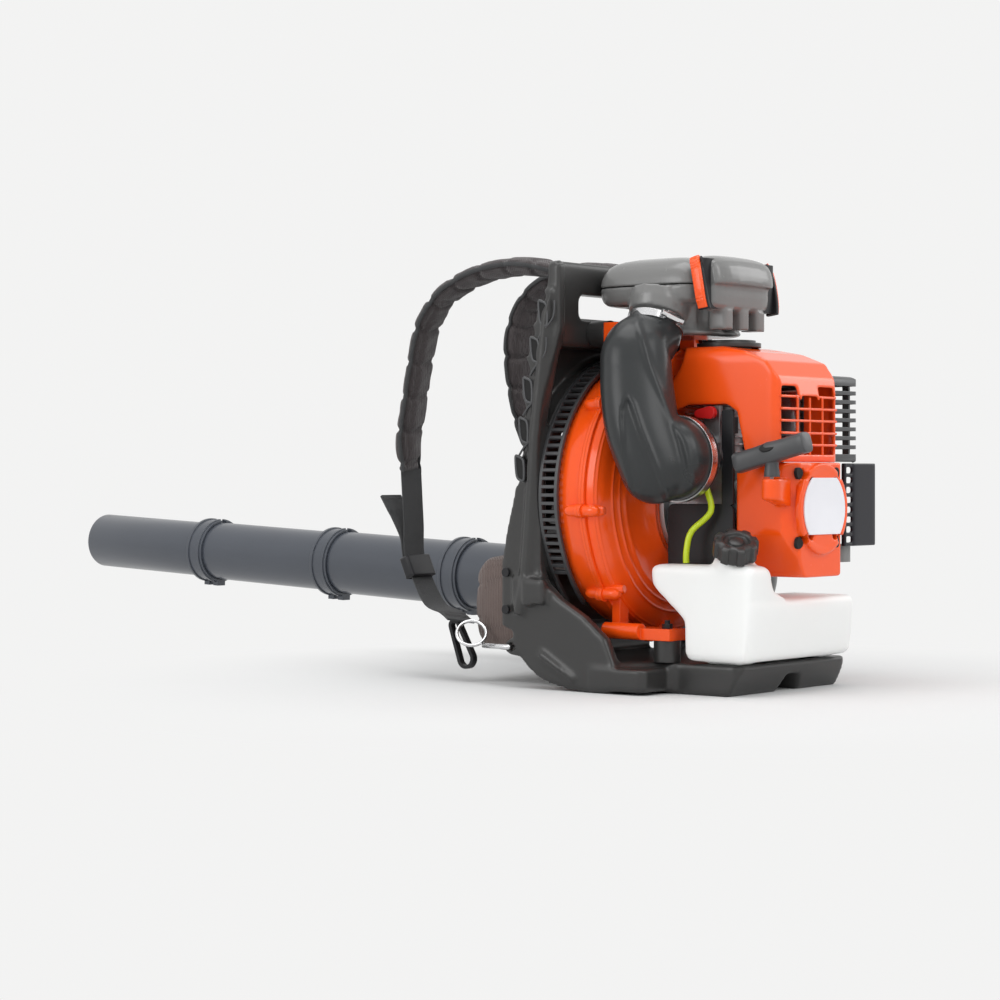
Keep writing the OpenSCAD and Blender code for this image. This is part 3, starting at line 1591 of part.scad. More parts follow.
// A round bar between two points.
module bar(a, b, r) {
    hull() for (p = [a, b]) translate(p) sphere(r, $fn = 16);
}

module sphere_at(p, r) {
    translate(p) sphere(r, $fn = 32);
}

// The lower back cushion on the frame's front.
module lumbar_pad() {
    w = 222;
    path = curve([[0, 0, 38], [0, 0, 70], [0, 0, 110], [0, 0, 146]], 5);
    color(cloth_brown) difference() {
        loft([for (i = [0:len(path) - 1]) let (z = path[i].z, t = i / (len(path) - 1))
            [for (j = [0:27]) let (a = 360 * j / 28)
                [frame_mid_x + w / 2 * signed_power(cos(a), 0.5) * (1 - 0.04 * pow(2 * t - 1, 4)),
                 lumbar_mid(t) + lumbar_half(t) * signed_power(sin(a), 0.6), z]]]);
        box([-200, 0, 0], [200, 125 + gap, 200]);
    }
}
function lumbar_mid(t) = lookup(t, [[0, 160], [0.3, 162], [0.8, 160], [1, 155]]);
function lumbar_half(t) = lookup(t, [[0, 38], [0.15, 44], [0.5, 50], [0.85, 46], [1, 32]]);

frame();
intake_grille();
lumbar_pad();
shoulder_pad_left();
shoulder_pad_right();
webbing_left();
webbing_right();
strap_adjusters();
pull_loops();
d_rings();
snap_hooks();
frame_bolts();
isolators();
fuel_tank();
fuel_cap();
fuel_hose();
fan_housing_front();
fan_housing_rear();
housing_screws();
impeller();
crankshaft();
crank_bearings();
flywheel();
crankcase();
cylinder_barrel();
spark_plug();
ignition_module();
carburettor();
throttle_lever();
choke_lever();
intake_hose();
hose_clamps();
filter_base();
filter_top();
filter_cover();
filter_element();
filter_latch_left();
filter_latch_right();
engine_shroud();
cylinder_cover();
cover_cap();
starter_housing();
label_plate();
recoil_handle();
recoil_rope();
recoil_pulley();
muffler();
muffler_guard();
exhaust_guard();
outlet_elbow();
bellows();
bellows_clamp();
swivel_tube();
tube_1();
tube_2();
nozzle_tube();
throttle_handle();
throttle_trigger();
cruise_lever();
stop_switch();
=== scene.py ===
"""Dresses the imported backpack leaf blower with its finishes, soft goods and fine forms."""
import json
import math

import bmesh
import bpy
import numpy as np
from mathutils import Matrix, Vector

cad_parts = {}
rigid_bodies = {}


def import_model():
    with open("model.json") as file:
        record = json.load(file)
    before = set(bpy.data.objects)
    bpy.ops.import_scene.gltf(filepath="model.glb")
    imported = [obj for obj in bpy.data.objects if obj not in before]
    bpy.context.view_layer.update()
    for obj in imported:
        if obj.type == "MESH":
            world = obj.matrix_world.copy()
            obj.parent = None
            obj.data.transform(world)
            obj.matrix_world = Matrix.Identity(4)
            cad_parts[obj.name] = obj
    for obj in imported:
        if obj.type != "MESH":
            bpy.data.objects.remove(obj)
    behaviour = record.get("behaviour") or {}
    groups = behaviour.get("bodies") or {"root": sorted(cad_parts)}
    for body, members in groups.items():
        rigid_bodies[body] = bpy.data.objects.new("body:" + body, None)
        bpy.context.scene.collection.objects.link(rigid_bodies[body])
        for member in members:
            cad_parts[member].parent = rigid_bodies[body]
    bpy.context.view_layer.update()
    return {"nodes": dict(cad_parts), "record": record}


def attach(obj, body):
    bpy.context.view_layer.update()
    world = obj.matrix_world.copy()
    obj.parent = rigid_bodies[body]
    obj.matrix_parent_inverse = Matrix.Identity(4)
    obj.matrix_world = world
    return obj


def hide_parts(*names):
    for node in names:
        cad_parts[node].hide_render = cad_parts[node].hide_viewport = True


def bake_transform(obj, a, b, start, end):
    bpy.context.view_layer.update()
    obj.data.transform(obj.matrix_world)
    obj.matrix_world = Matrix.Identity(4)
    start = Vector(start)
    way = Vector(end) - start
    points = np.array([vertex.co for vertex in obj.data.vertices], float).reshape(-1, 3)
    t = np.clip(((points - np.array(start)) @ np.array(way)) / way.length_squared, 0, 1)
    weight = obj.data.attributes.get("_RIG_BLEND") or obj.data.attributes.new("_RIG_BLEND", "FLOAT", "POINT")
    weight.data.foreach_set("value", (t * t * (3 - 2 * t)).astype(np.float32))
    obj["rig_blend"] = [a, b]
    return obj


for leftover in list(bpy.data.objects):
    bpy.data.objects.remove(leftover)
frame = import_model()

bl_info = {
    "name": "Backpack blower dresser",
    "version": (1, 0, 0),
    "blender": (4, 5, 0),
    "location": "View3D > Sidebar > Blower",
    "description": "Surfaces, fabrics and finishes for a backpack leaf blower",
    "category": "Object",
}

MM = 0.001
CRANK_Z = 203.0


# ---------- Numbers ----------

def unit(v):
    """v divided by its length, along the last axis."""
    v = np.asarray(v, float)
    return v / np.maximum(np.linalg.norm(v, axis=-1, keepdims=True), 1e-12)


def curve(points, steps):
    """Catmull-Rom: 0.5 (2b + (c-a)t + (2a-5b+4c-d)t^2 + (3b-a-3c+d)t^3) between b and c."""
    p = np.asarray(points, float)
    q = np.vstack([p[:1], p, p[-1:]])
    t = (np.arange(steps) / steps)[None, :, None]
    a, b, c, d = (q[i:len(p) - 1 + i, None, :] for i in range(4))
    body = 0.5 * (2 * b + (c - a) * t + (2 * a - 5 * b + 4 * c - d) * t ** 2
                  + (3 * b - a - 3 * c + d) * t ** 3)
    return np.vstack([body.reshape(-1, p.shape[1]), p[-1:]])


def headings(path):
    """Unit chord from the point before each point to the point after it."""
    i = np.arange(len(path))
    return unit(path[np.minimum(i + 1, len(path) - 1)] - path[np.maximum(i - 1, 0)])


def lengths(path):
    """Distance run along a path up to each of its points."""
    return np.concatenate([[0], np.cumsum(np.linalg.norm(np.diff(path, axis=0), axis=1))])


def power(x, e):
    """|x|^e with the sign of x, which squares an ellipse off when e is below 1."""
    return np.sign(x) * np.abs(x) ** e


def smooth(lo, hi, x):
    """0 below lo, 1 above hi, and 3t^2 - 2t^3 between them."""
    t = np.clip((x - lo) / (hi - lo), 0, 1)
    return t * t * (3 - 2 * t)


def oval(n, e=1.0):
    """n points (cos^e, sin^e) once round a squared-off circle of radius 1."""
    a = np.arange(n) * 2 * np.pi / n
    return np.stack([power(np.cos(a), e), power(np.sin(a), e)], -1)


def carried(path, side, profile):
    """Grid P[i, j] = path[i] + u x[i, j] + v y[i, j], where u is the side direction made
    square to the path's heading and v is heading x u. The profile may be one ring."""
    d = headings(path)
    side = np.broadcast_to(np.asarray(side, float), path.shape)
    u = unit(side - (side * d).sum(-1, keepdims=True) * d)
    v = np.cross(d, u)
    return (path[:, None, :] + u[:, None, :] * profile[..., :1] + v[:, None, :]
            * profile[..., 1:2])


# ---------- Meshes ----------

def grid_faces(nu, nv, around):
    """Quads between neighbouring rows and columns, joined round the columns if wanted."""
    i, j = np.meshgrid(np.arange(nu - 1), np.arange(nv if around else nv - 1),
                       indexing="ij")
    k = (j + 1) % nv
    return np.stack([i * nv + j, i * nv + k, (i + 1) * nv + k, (i + 1) * nv + j],
                    -1).reshape(-1, 4)


def linked(name, data):
    """An object with its data, linked to the scene."""
    obj = bpy.data.objects.new(name, data)
    bpy.context.scene.collection.objects.link(obj)
    return obj


def merge(mesh, outward=False):
    """Merges doubled points and, if wanted, turns the faces outward."""
    bm = bmesh.new()
    bm.from_mesh(mesh)
    bmesh.ops.remove_doubles(bm, verts=bm.verts, dist=2e-6)
    if outward:
        bmesh.ops.recalc_face_normals(bm, faces=bm.faces)
    bm.to_mesh(mesh)
    bm.free()


def bake(obj):
    """Puts the result of the modifiers into the mesh and takes them off."""
    graph = bpy.context.evaluated_depsgraph_get()
    made = bpy.data.meshes.new_from_object(obj.evaluated_get(graph))
    obj.modifiers.clear()
    obj.data = made


def points_of(obj):
    """The mesh's points as an array."""
    co = np.zeros(len(obj.data.vertices) * 3)
    obj.data.vertices.foreach_get("co", co)
    return co.reshape(-1, 3)


def set_points(obj, co):
    """Writes an array of points into the mesh."""
    obj.data.vertices.foreach_set("co", co.ravel())
    obj.data.update()


def finish_mesh(obj, finish, body, sharp):
    """Shades a mesh smooth up to an angle, sets its finish and rides a body."""
    mesh = obj.data
    mesh.polygons.foreach_set("use_smooth", np.ones(len(mesh.polygons), bool))
    mesh.set_sharp_from_angle(angle=math.radians(sharp))
    mesh.materials.clear()
    mesh.materials.append(finishes[finish])
    if body:
        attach(obj, body)


def surface(name, grids, finish, body=None, slot=None, around=True, sharp=35, uvs=None,
            caps=True):
    """Skins one grid of points (or a list of them) in millimetres as one mesh object.
    With caps, each grid's first and last row are closed at their middle points."""
    if isinstance(grids, np.ndarray):
        grids = [grids]
    verts, faces, coords, start = [], [], [], 0
    for n, g in enumerate(grids):
        if caps:
            ends = [np.repeat(r.mean(0)[None, :], g.shape[1], 0) for r in (g[0], g[-1])]
            g = np.concatenate([ends[0][None], g, ends[1][None]])
        nu, nv = g.shape[:2]
        verts.append(g.reshape(-1, 3) * MM)
        faces.append(grid_faces(nu, nv, around) + start)
        if uvs is not None:
            uv = uvs[n]
            if caps:
                uv = np.concatenate([uv[:1], uv, uv[-1:]])
            coords.append(uv.reshape(-1, 2))
        start += nu * nv
    mesh = bpy.data.meshes.new(name)
    mesh.from_pydata(np.vstack(verts).tolist(), [], np.vstack(faces).tolist())
    if uvs is not None:
        layer = mesh.uv_layers.new(name="UVMap")
        index = np.zeros(len(mesh.loops), np.int32)
        mesh.loops.foreach_get("vertex_index", index)
        layer.data.foreach_set("uv", np.vstack(coords)[index].ravel())
    obj = linked(name, mesh)
    if caps:
        merge(mesh, True)
    finish_mesh(obj, finish, body, sharp)
    return obj


def body_of(node):
    """Name of the body that a node belongs to."""
    return next(b for b, nodes in frame["record"]["behaviour"]["bodies"].items()
                if node in nodes)


def part(name, grids, finish, node, slot=None, **more):
    """A closed surface that stands for a node, on the node's body."""
    obj = surface(name, grids, finish, body_of(node), slot or SLOT_OF[finish], **more)
    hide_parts(node)
    return obj


def dress(node, finish):
    """A merged copy of a node's mesh, smooth where its facets meet at small angles, that
    stands for the node and carries its finish. A bending node gets its bodies later."""
    mesh = frame["nodes"][node].data.copy()
    mesh.name = node + "_skin"
    obj = linked(node + "_skin", mesh)
    merge(mesh)
    for name in [a.name for a in mesh.attributes if a.name == "custom_normal"]:
        mesh.attributes.remove(mesh.attributes[name])
    body = None if node in ("bellows", "recoil_rope") else body_of(node)
    finish_mesh(obj, finish, body, 32)
    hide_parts(node)


def moulded(name, finish, nodes, grids=(), voxel=2.0, rounds=8, keep=None, shape=None,
            stands_for=None, cuts=()):
    """Nodes' shapes and closed grids merged into one even skin, then relaxed so that its
    edges and joints turn into soft radii. keep(points) is 1 where the relaxing is held
    off, and shape(points) gives the moved points."""
    bm = bmesh.new()
    if grids:
        made = surface(name, grids, finish)
        bm.from_mesh(made.data)
        bpy.data.objects.remove(made)
    for node in nodes:
        bm.from_mesh(frame["nodes"][node].data)
    mesh = bpy.data.meshes.new(name)
    bm.to_mesh(mesh)
    bm.free()
    obj = linked(name, mesh)
    for cut in cuts:
        tool = surface("cutter", cut, finish)
        carve = obj.modifiers.new("cut", "BOOLEAN")
        carve.operation, carve.object, carve.solver = "DIFFERENCE", tool, "EXACT"
        bake(obj)
        bpy.data.objects.remove(tool)
    remesh = obj.modifiers.new("even", "REMESH")
    remesh.mode, remesh.voxel_size = "VOXEL", voxel * MM
    bake(obj)
    relax = obj.modifiers.new("relax", "SMOOTH")
    relax.factor, relax.iterations = 0.5, rounds
    if keep:
        group = obj.vertex_groups.new(name="free")
        free = 1 - keep(points_of(obj) / MM)
        for level in (0.33, 0.66, 1.0):
            group.add(np.nonzero(free >= level - 0.17)[0].tolist(), level, "REPLACE")
        relax.vertex_group = "free"
    bake(obj)
    if shape:
        set_points(obj, shape(points_of(obj) / MM) * MM)
    obj.vertex_groups.clear()
    nodes = stands_for or nodes
    finish_mesh(obj, finish, body_of(nodes[0]), 50)
    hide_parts(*nodes)


# ---------- Finishes ----------

finishes = {}
SLOT_OF = {name: name for name in ("orange", "charcoal", "black", "grey", "red", "tank",
                                   "tube", "webbing", "steel", "alloy", "label", "paper")}
SLOT_OF.update(handle="black", soot="black", pit="black", hose_rubber="charcoal",
               fuel_line="hose_yellow", pad_cloth="cloth_black", back_cloth="cloth_brown")


def add(tree, kind, inputs=None, **settings):
    """A shader node with its settings; its inputs are linked to sockets or set to values."""
    node = tree.nodes.new("ShaderNode" + kind)
    for key, value in settings.items():
        setattr(node, key, value)
    for key, value in (inputs or {}).items():
        if isinstance(value, bpy.types.NodeSocket):
            tree.links.new(value, node.inputs[key])
        else:
            node.inputs[key].default_value = value
    return node


def maths(tree, kind, a, b=None, clamp=False):
    """A Math node whose inputs are sockets or numbers; gives its output."""
    inputs = {0: a} if b is None else {0: a, 1: b}
    return add(tree, "Math", inputs, operation=kind, use_clamp=clamp).outputs[0]


def noise(tree, vector, scale, detail=3.0, rough=0.5):
    """A noise texture's value at a scale that may be a socket."""
    return add(tree, "TexNoise", {"Vector": vector, "Scale": scale, "Detail": detail,
                                  "Roughness": rough}).outputs["Fac"]


def mix_colour(tree, factor, a, b):
    """A colour mix of two colours or sockets by a factor socket."""
    return add(tree, "Mix", {0: factor, 6: a, 7: b}, data_type="RGBA").outputs[2]


def new_group(name, inputs, make):
    """A shader node group. It takes a vector and the named numbers, and make(group, start)
    gives its output sockets by name."""
    group = bpy.data.node_groups.new(name, "ShaderNodeTree")
    group.interface.new_socket("Vector", in_out="INPUT", socket_type="NodeSocketVector")
    for label, value in inputs.items():
        socket = group.interface.new_socket(label, in_out="INPUT",
                                            socket_type="NodeSocketFloat")
        socket.default_value = value
    start = group.nodes.new("NodeGroupInput")
    outputs = make(group, start.outputs)
    for label in outputs:
        kind = "NodeSocketVector" if label == "Normal" else "NodeSocketFloat"
        group.interface.new_socket(label, in_out="OUTPUT", socket_type=kind)
    end = group.nodes.new("NodeGroupOutput")
    for label, socket in outputs.items():
        group.links.new(socket, end.inputs[label])


def moulded_surface(group, start):
    """Fine moulding grain, slow flow waves and scattered handling marks."""
    vector = start["Vector"]
    grain = noise(group, vector, start["Grain Scale"], 2.0)
    waves = noise(group, vector, 22.0, 2.0)
    marks = add(group, "MapRange", {"Value": noise(group, vector, 130.0, 6.0, 0.7),
                                    "From Min": 0.60, "From Max": 0.72})
    height = maths(group, "ADD", maths(group, "MULTIPLY", grain, start["Grain"]),
                   maths(group, "MULTIPLY", waves, start["Waves"]))
    return {"Height": height, "Cloud": noise(group, vector, 9.0, 4.0),
            "Scuffs": marks.outputs[0]}


def edge_wear(group, start):
    """Rounded edge normals, and a mask of the edges broken up by noise."""
    bevel = add(group, "Bevel", {"Radius": start["Radius"]}, samples=6).outputs[0]
    geometry = add(group, "NewGeometry")
    dot = add(group, "VectorMath", {0: bevel, 1: geometry.outputs["Normal"]},
              operation="DOT_PRODUCT")
    edge = maths(group, "MULTIPLY", maths(group, "SUBTRACT", 1.0, dot.outputs["Value"]),
                 6.0, True)
    return {"Normal": bevel, "Mask": maths(group, "MULTIPLY", edge,
                                           noise(group, start["Vector"], 240.0, 5.0))}


def weave(group, start):
    """Over-and-under threads along U and V, with a slubby height."""
    split = add(group, "SeparateXYZ", {0: start["Vector"]})
    u = maths(group, "MULTIPLY", split.outputs[0], start["Threads U"])
    v = maths(group, "MULTIPLY", split.outputs[1], start["Threads V"])
    su, sv = (maths(group, "ABSOLUTE", maths(group, "SINE", maths(group, "MULTIPLY", x,
              math.pi))) for x in (u, v))
    over = maths(group, "ABSOLUTE", maths(group, "MODULO", maths(
        group, "ADD", maths(group, "FLOOR", u), maths(group, "FLOOR", v)), 2.0))
    mix = add(group, "Mix", {0: over, 2: su, 3: sv})
    return {"Height": mix.outputs[0], "Thread": over}


def placed(tree, group, vector, inputs):
    """The outputs of a group node with its vector linked and its numbers set."""
    return add(tree, "Group", {"Vector": vector, **inputs},
               node_tree=bpy.data.node_groups[group]).outputs


def shift(colour, factor):
    """A colour made lighter or darker, with an alpha of 1."""
    return (*[min(1.0, c * factor) for c in colour], 1.0)


def blank(name, rough, metallic=0.0):
    """An empty material with a Principled shader and its coordinates."""
    material = bpy.data.materials.new(name)
    material.use_nodes = True
    tree = material.node_tree
    shader = tree.nodes["Principled BSDF"].inputs
    shader["Roughness"].default_value = rough
    shader["Metallic"].default_value = metallic
    finishes[name] = material
    return tree, shader, tree.nodes.new("ShaderNodeTexCoord").outputs


def moulding(name, colour, rough, grain=0.5, grain_scale=900.0, waves=0.4, radius=0.0012,
             coat=0.0, spread=0.12, depth=0.00004, wear=0.35):
    """A moulded plastic: cloudy colour, paler worn edges, grain in the bump and gloss."""
    tree, shader, coords = blank(name, rough)
    vector = coords["Object"]
    mould = placed(tree, "Moulded surface", vector,
                   {"Grain": grain, "Grain Scale": grain_scale, "Waves": waves})
    edge = placed(tree, "Edge wear", vector, {"Radius": radius})
    cloudy = mix_colour(tree, mould["Cloud"], shift(colour, 1 - spread),
                        shift(colour, 1 + spread))
    worn = mix_colour(tree, maths(tree, "MULTIPLY", edge["Mask"], wear), cloudy,
                      tuple(min(1.0, c * 1.3 + 0.03) for c in colour) + (1.0,))
    tree.links.new(worn, shader["Base Color"])
    gloss = maths(tree, "ADD", maths(tree, "MULTIPLY", mould["Scuffs"], 0.10),
                  maths(tree, "ADD", maths(tree, "MULTIPLY", mould["Cloud"], 0.10),
                        rough - 0.05), True)
    tree.links.new(gloss, shader["Roughness"])
    bump = add(tree, "Bump", {"Distance": depth, "Strength": 0.8, "Height": mould["Height"],
                              "Normal": edge["Normal"]})
    tree.links.new(bump.outputs[0], shader["Normal"])
    shader["Coat Weight"].default_value = coat
    shader["Coat Roughness"].default_value = 0.08


def metal(name, colour, rough):
    """A bare metal with fine turning marks, cloudy gloss and rounded edges."""
    tree, shader, coords = blank(name, rough, 1.0)
    vector = coords["Object"]
    mould = placed(tree, "Moulded surface", vector,
                   {"Grain": 0.6, "Grain Scale": 1500.0, "Waves": 0.2})
    edge = placed(tree, "Edge wear", vector, {"Radius": 0.0006})
    tree.links.new(mix_colour(tree, mould["Cloud"], shift(colour, 0.85),
                              shift(colour, 1.1)), shader["Base Color"])
    tree.links.new(maths(tree, "ADD", maths(tree, "MULTIPLY", mould["Cloud"], 0.2),
                         rough - 0.1, True), shader["Roughness"])
    bump = add(tree, "Bump", {"Distance": 0.00003, "Height": mould["Height"],
                              "Normal": edge["Normal"]})
    tree.links.new(bump.outputs[0], shader["Normal"])


def woven(name, colour, rough, threads, mottle, sheen=0.25, use_uv=False):
    """A woven fabric; threads per metre along both directions of its coordinates."""
    tree, shader, coords = blank(name, rough)
    vector = coords["UV" if use_uv else "Object"]
    height = placed(tree, "Weave", vector, {"Threads U": threads,
                                            "Threads V": threads})["Height"]
    fuzz = noise(tree, vector, 60.0 if use_uv else 35.0, 5.0, 0.65)
    dark = mix_colour(tree, height, shift(colour, 1 - mottle), shift(colour, 1 + mottle))
    tree.links.new(mix_colour(tree, fuzz, dark, shift(colour, 1.15)), shader["Base Color"])
    tree.links.new(maths(tree, "ADD", maths(tree, "MULTIPLY", fuzz, 0.2), rough - 0.1,
                         True), shader["Roughness"])
    bump = add(tree, "Bump", {"Distance": 0.0004, "Height": height})
    soft = add(tree, "Bump", {"Distance": 0.0012, "Strength": 0.5, "Height": fuzz,
                              "Normal": bump.outputs[0]})
    tree.links.new(soft.outputs[0], shader["Normal"])
    shader["Sheen Weight"].default_value = sheen
    shader["Sheen Roughness"].default_value = 0.6


# Colour, roughness, then grain, its scale, waves, edge radius, coat, spread, depth, wear
MOULDINGS = {
    "orange": ((0.90, 0.088, 0.006), 0.20, 0.15, 700, 0.8, 0.0020, 0.25, 0.05, 0.00005,
               0.15),
    "charcoal": ((0.028, 0.0275, 0.027), 0.33, 0.5, 1100, 0.4, 0.0022),
    "hose_rubber": ((0.028, 0.030, 0.031), 0.28, 0.4, 1200, 0.8, 0.0018),
    "black": ((0.014, 0.014, 0.016), 0.40, 0.5, 1100, 0.3, 0.0010),
    "grey": ((0.178, 0.178, 0.175), 0.22, 0.4, 1000, 0.4, 0.0018),
    "handle": ((0.052, 0.053, 0.056), 0.36, 0.5, 1000, 0.4),
    "soot": ((0.012, 0.012, 0.017), 0.34, 0.4, 1000, 0.3),
    # pit: near-black painted shade that fills holes and windows so they read deep.
    "pit": ((0.004, 0.004, 0.004), 0.8, 0.2, 900, 0.2),
    "red": ((0.62, 0.012, 0.012), 0.35),
    "tank": ((0.86, 0.87, 0.86), 0.42, 0.3, 600, 0.8, 0.0035, 0.0, 0.03, 0.00008, 0.0),
    "fuel_line": ((0.55, 0.70, 0.02), 0.25, 0.2, 700, 0.2),
    "tube": ((0.060, 0.068, 0.084), 0.30, 0.35, 900, 0.5, 0.0012, 0.15),
    "label": ((0.80, 0.80, 0.84), 0.35, 0.1, 900, 0.2),
    "paper": ((0.62, 0.55, 0.40), 0.85, 0.9, 500, 0.4),
}
SPECULAR = {"orange": 0.35, "soot": 0.3, "black": 0.3, "hose_rubber": 0.3}


def make_finishes():
    """Builds the node groups, then every finish from its own colour and grain."""
    new_group("Moulded surface", {"Grain Scale": 900.0, "Grain": 0.5, "Waves": 0.4},
              moulded_surface)
    new_group("Edge wear", {"Radius": 0.001}, edge_wear)
    new_group("Weave", {"Threads U": 1.0, "Threads V": 1.0}, weave)
    for name, values in MOULDINGS.items():
        moulding(name, *values)
    metal("steel", (0.72, 0.72, 0.73), 0.26)
    metal("alloy", (0.50, 0.51, 0.52), 0.45)
    woven("pad_cloth", (0.038, 0.029, 0.030), 0.85, 620, 0.35)
    woven("back_cloth", (0.105, 0.072, 0.062), 0.85, 520, 0.25)
    woven("webbing", (0.030, 0.031, 0.033), 0.70, 10, 0.35, 0.1, True)
    for name, level in SPECULAR.items():
        shader = finishes[name].node_tree.nodes["Principled BSDF"].inputs
        shader["Specular IOR Level"].default_value = level
    shader = finishes["tank"].node_tree.nodes["Principled BSDF"].inputs
    shader["Subsurface Weight"].default_value = 0.35
    shader["Subsurface Radius"].default_value = (0.02, 0.02, 0.02)
    shader["Subsurface Scale"].default_value = 0.6


# ---------- Settings ----------

class BlowerStageSettings(bpy.types.PropertyGroup):
    """Brightness of the studio and the tone of its floor."""
    world: bpy.props.FloatProperty(name="World", description="Strength of the soft light",
                                   default=0.72, min=0, max=3)
    key: bpy.props.FloatProperty(name="Key", description="Power of the large lamp",
                                 default=30, min=0, max=300, unit="POWER")
    floor: bpy.props.FloatVectorProperty(name="Floor", description="Colour of the floor",
                                         subtype="COLOR", default=(0.69, 0.695, 0.695))


class BlowerSoftSettings(bpy.types.PropertyGroup):
    """Sizes of the padded pieces."""
    pad_width: bpy.props.FloatProperty(name="Pad width", description="Width of a pad",
                                       default=0.060, unit="LENGTH")
    pad_thick: bpy.props.FloatProperty(name="Pad thickness", default=0.019,
                                       description="Thickness of a pad", unit="LENGTH")
    quilts: bpy.props.IntProperty(name="Quilts", description="Sewn channels along a pad",
                                  default=9, min=2, max=20)


# ---------- Stage ----------

PALE = (0.896, 0.896, 0.892, 1.0)


def seen(tree):
    """1 on camera, glossy and transmission rays, which see the plain backdrop."""
    rays = add(tree, "LightPath").outputs
    return maths(tree, "MAXIMUM", rays["Is Camera Ray"], maths(
        tree, "MAXIMUM", rays["Is Glossy Ray"], rays["Is Transmission Ray"]))


class BLOWER_OT_stage(bpy.types.Operator):
    """Makes the camera, the lamps, the world and the floor."""
    bl_idname = "blower.stage"
    bl_label = "Stage"

    def execute(self, context):
        scene = context.scene
        scene.view_settings.view_transform = "Standard"
        settings = scene.blower_stage
        turn = math.radians(51.0)
        ahead = Vector((math.sin(turn), math.cos(turn), 0))
        right = Vector((math.cos(turn), -math.sin(turn), 0))
        distance, sideways, height = 2.87, 0.0672, 0.24
        data = bpy.data.cameras.new("camera")
        data.lens, data.sensor_width, data.shift_y = 90, 36, -0.025
        camera = linked("camera", data)
        place = -ahead * distance - right * sideways * distance
        place.z = height
        up = Vector((0, 0, 1))
        camera.matrix_world = Matrix(((right.x, up.x, -ahead.x, place.x),
                                      (right.y, up.y, -ahead.y, place.y),
                                      (right.z, up.z, -ahead.z, place.z), (0, 0, 0, 1)))
        scene.camera = camera

        scene.world = world = bpy.data.worlds.new("studio")
        world.use_nodes = True
        tree = world.node_tree
        back = tree.nodes["Background"]
        back.inputs[0].default_value = (1, 1, 1, 1)
        back.inputs[1].default_value = settings.world
        plain = add(tree, "Background", {0: PALE})
        mix = add(tree, "MixShader", {0: seen(tree), 1: back.outputs[0],
                                      2: plain.outputs[0]})
        tree.links.new(mix.outputs[0], tree.nodes["World Output"].inputs[0])

        for name, where, size, watts, aim in (
                ("key", (-0.9, -2.6, 2.2), 1.8, settings.key, (0, 0, 0.25)),
                ("top", (-0.3, 0.1, 2.4), 1.6, settings.key * 0.7, (0, 0, 0.3)),
                ("fill", (-2.6, 0.9, 1.2), 1.4, settings.key * 0.65, (0, 0, 0.25)),
                ("rim", (2.4, -1.4, 1.6), 1.2, settings.key * 0.4, (0, 0, 0.25))):
            lamp = bpy.data.lights.new(name, "AREA")
            lamp.shape, lamp.size, lamp.energy = "SQUARE", size, watts
            obj = linked(name, lamp)
            obj.location = where
            back = Vector(where) - Vector(aim)
            obj.rotation_euler = back.to_track_quat("Z", "Y").to_euler()

        tree, shader, coords = blank("studio_floor", 0.9)
        tone = mix_colour(tree, noise(tree, coords["Object"], 1.5, 2.0),
                          (*settings.floor, 1.0), shift(settings.floor, 1.01))
        tree.links.new(tone, shader["Base Color"])
        shader["Specular IOR Level"].default_value = 0.05
        far = add(tree, "VectorMath", {0: coords["Object"]}, operation="LENGTH")
        fade = add(tree, "MapRange", {"Value": far.outputs["Value"], "From Min": 0.28,
                                      "From Max": 0.75}, interpolation_type="SMOOTHSTEP")
        mix = add(tree, "MixShader", {
            0: maths(tree, "MULTIPLY", seen(tree), fade.outputs[0]),
            1: tree.nodes["Principled BSDF"].outputs[0],
            2: add(tree, "Emission", {"Color": PALE}).outputs[0]})
        tree.links.new(mix.outputs[0], tree.nodes["Material Output"].inputs["Surface"])
        reach = np.linspace(-12, 12, 13)
        grid = np.stack(np.broadcast_arrays(reach[:, None], reach[None, :], 0.0), -1)
        surface("studio_floor", grid / MM, "studio_floor", around=False,
                         caps=False)
        return {"FINISHED"}


# ---------- Hard parts ----------

DRESSED = {
    "orange": ["fan_housing_front", "fan_housing_rear"],
    "charcoal": ["impeller", "recoil_pulley", "throttle_handle", "cruise_lever",
                 "cover_cap", "outlet_elbow", "isolators"],
    "hose_rubber": ["bellows", "bellows_clamp"],
    # engine_shroud is black for the black parts inside the engine cover, and in part as painted shade of the
    # cover's dark inside.
    "black": ["engine_shroud", "frame_bolts", "strap_adjusters", "pull_loops",
              "throttle_trigger", "ignition_module"],
    "handle": ["intake_grille", "muffler_guard"],
    "red": ["choke_lever", "stop_switch"],
    "fuel_line": ["fuel_hose"],
    "tube": ["swivel_tube", "tube_1", "tube_2", "nozzle_tube"],
    "label": ["label_plate", "recoil_rope", "spark_plug"],
    "steel": ["d_rings", "snap_hooks", "housing_screws", "hose_clamps",
              "crankshaft", "crank_bearings", "throttle_lever", "flywheel", "muffler"],
    "alloy": ["crankcase", "cylinder_barrel", "carburettor"],
    "paper": ["filter_element"],
}


TUBE_LIFT = np.array([204.0, 123.45, 92.33])
TUBE_SWING = np.array([204.0, 156.41, 93.89])


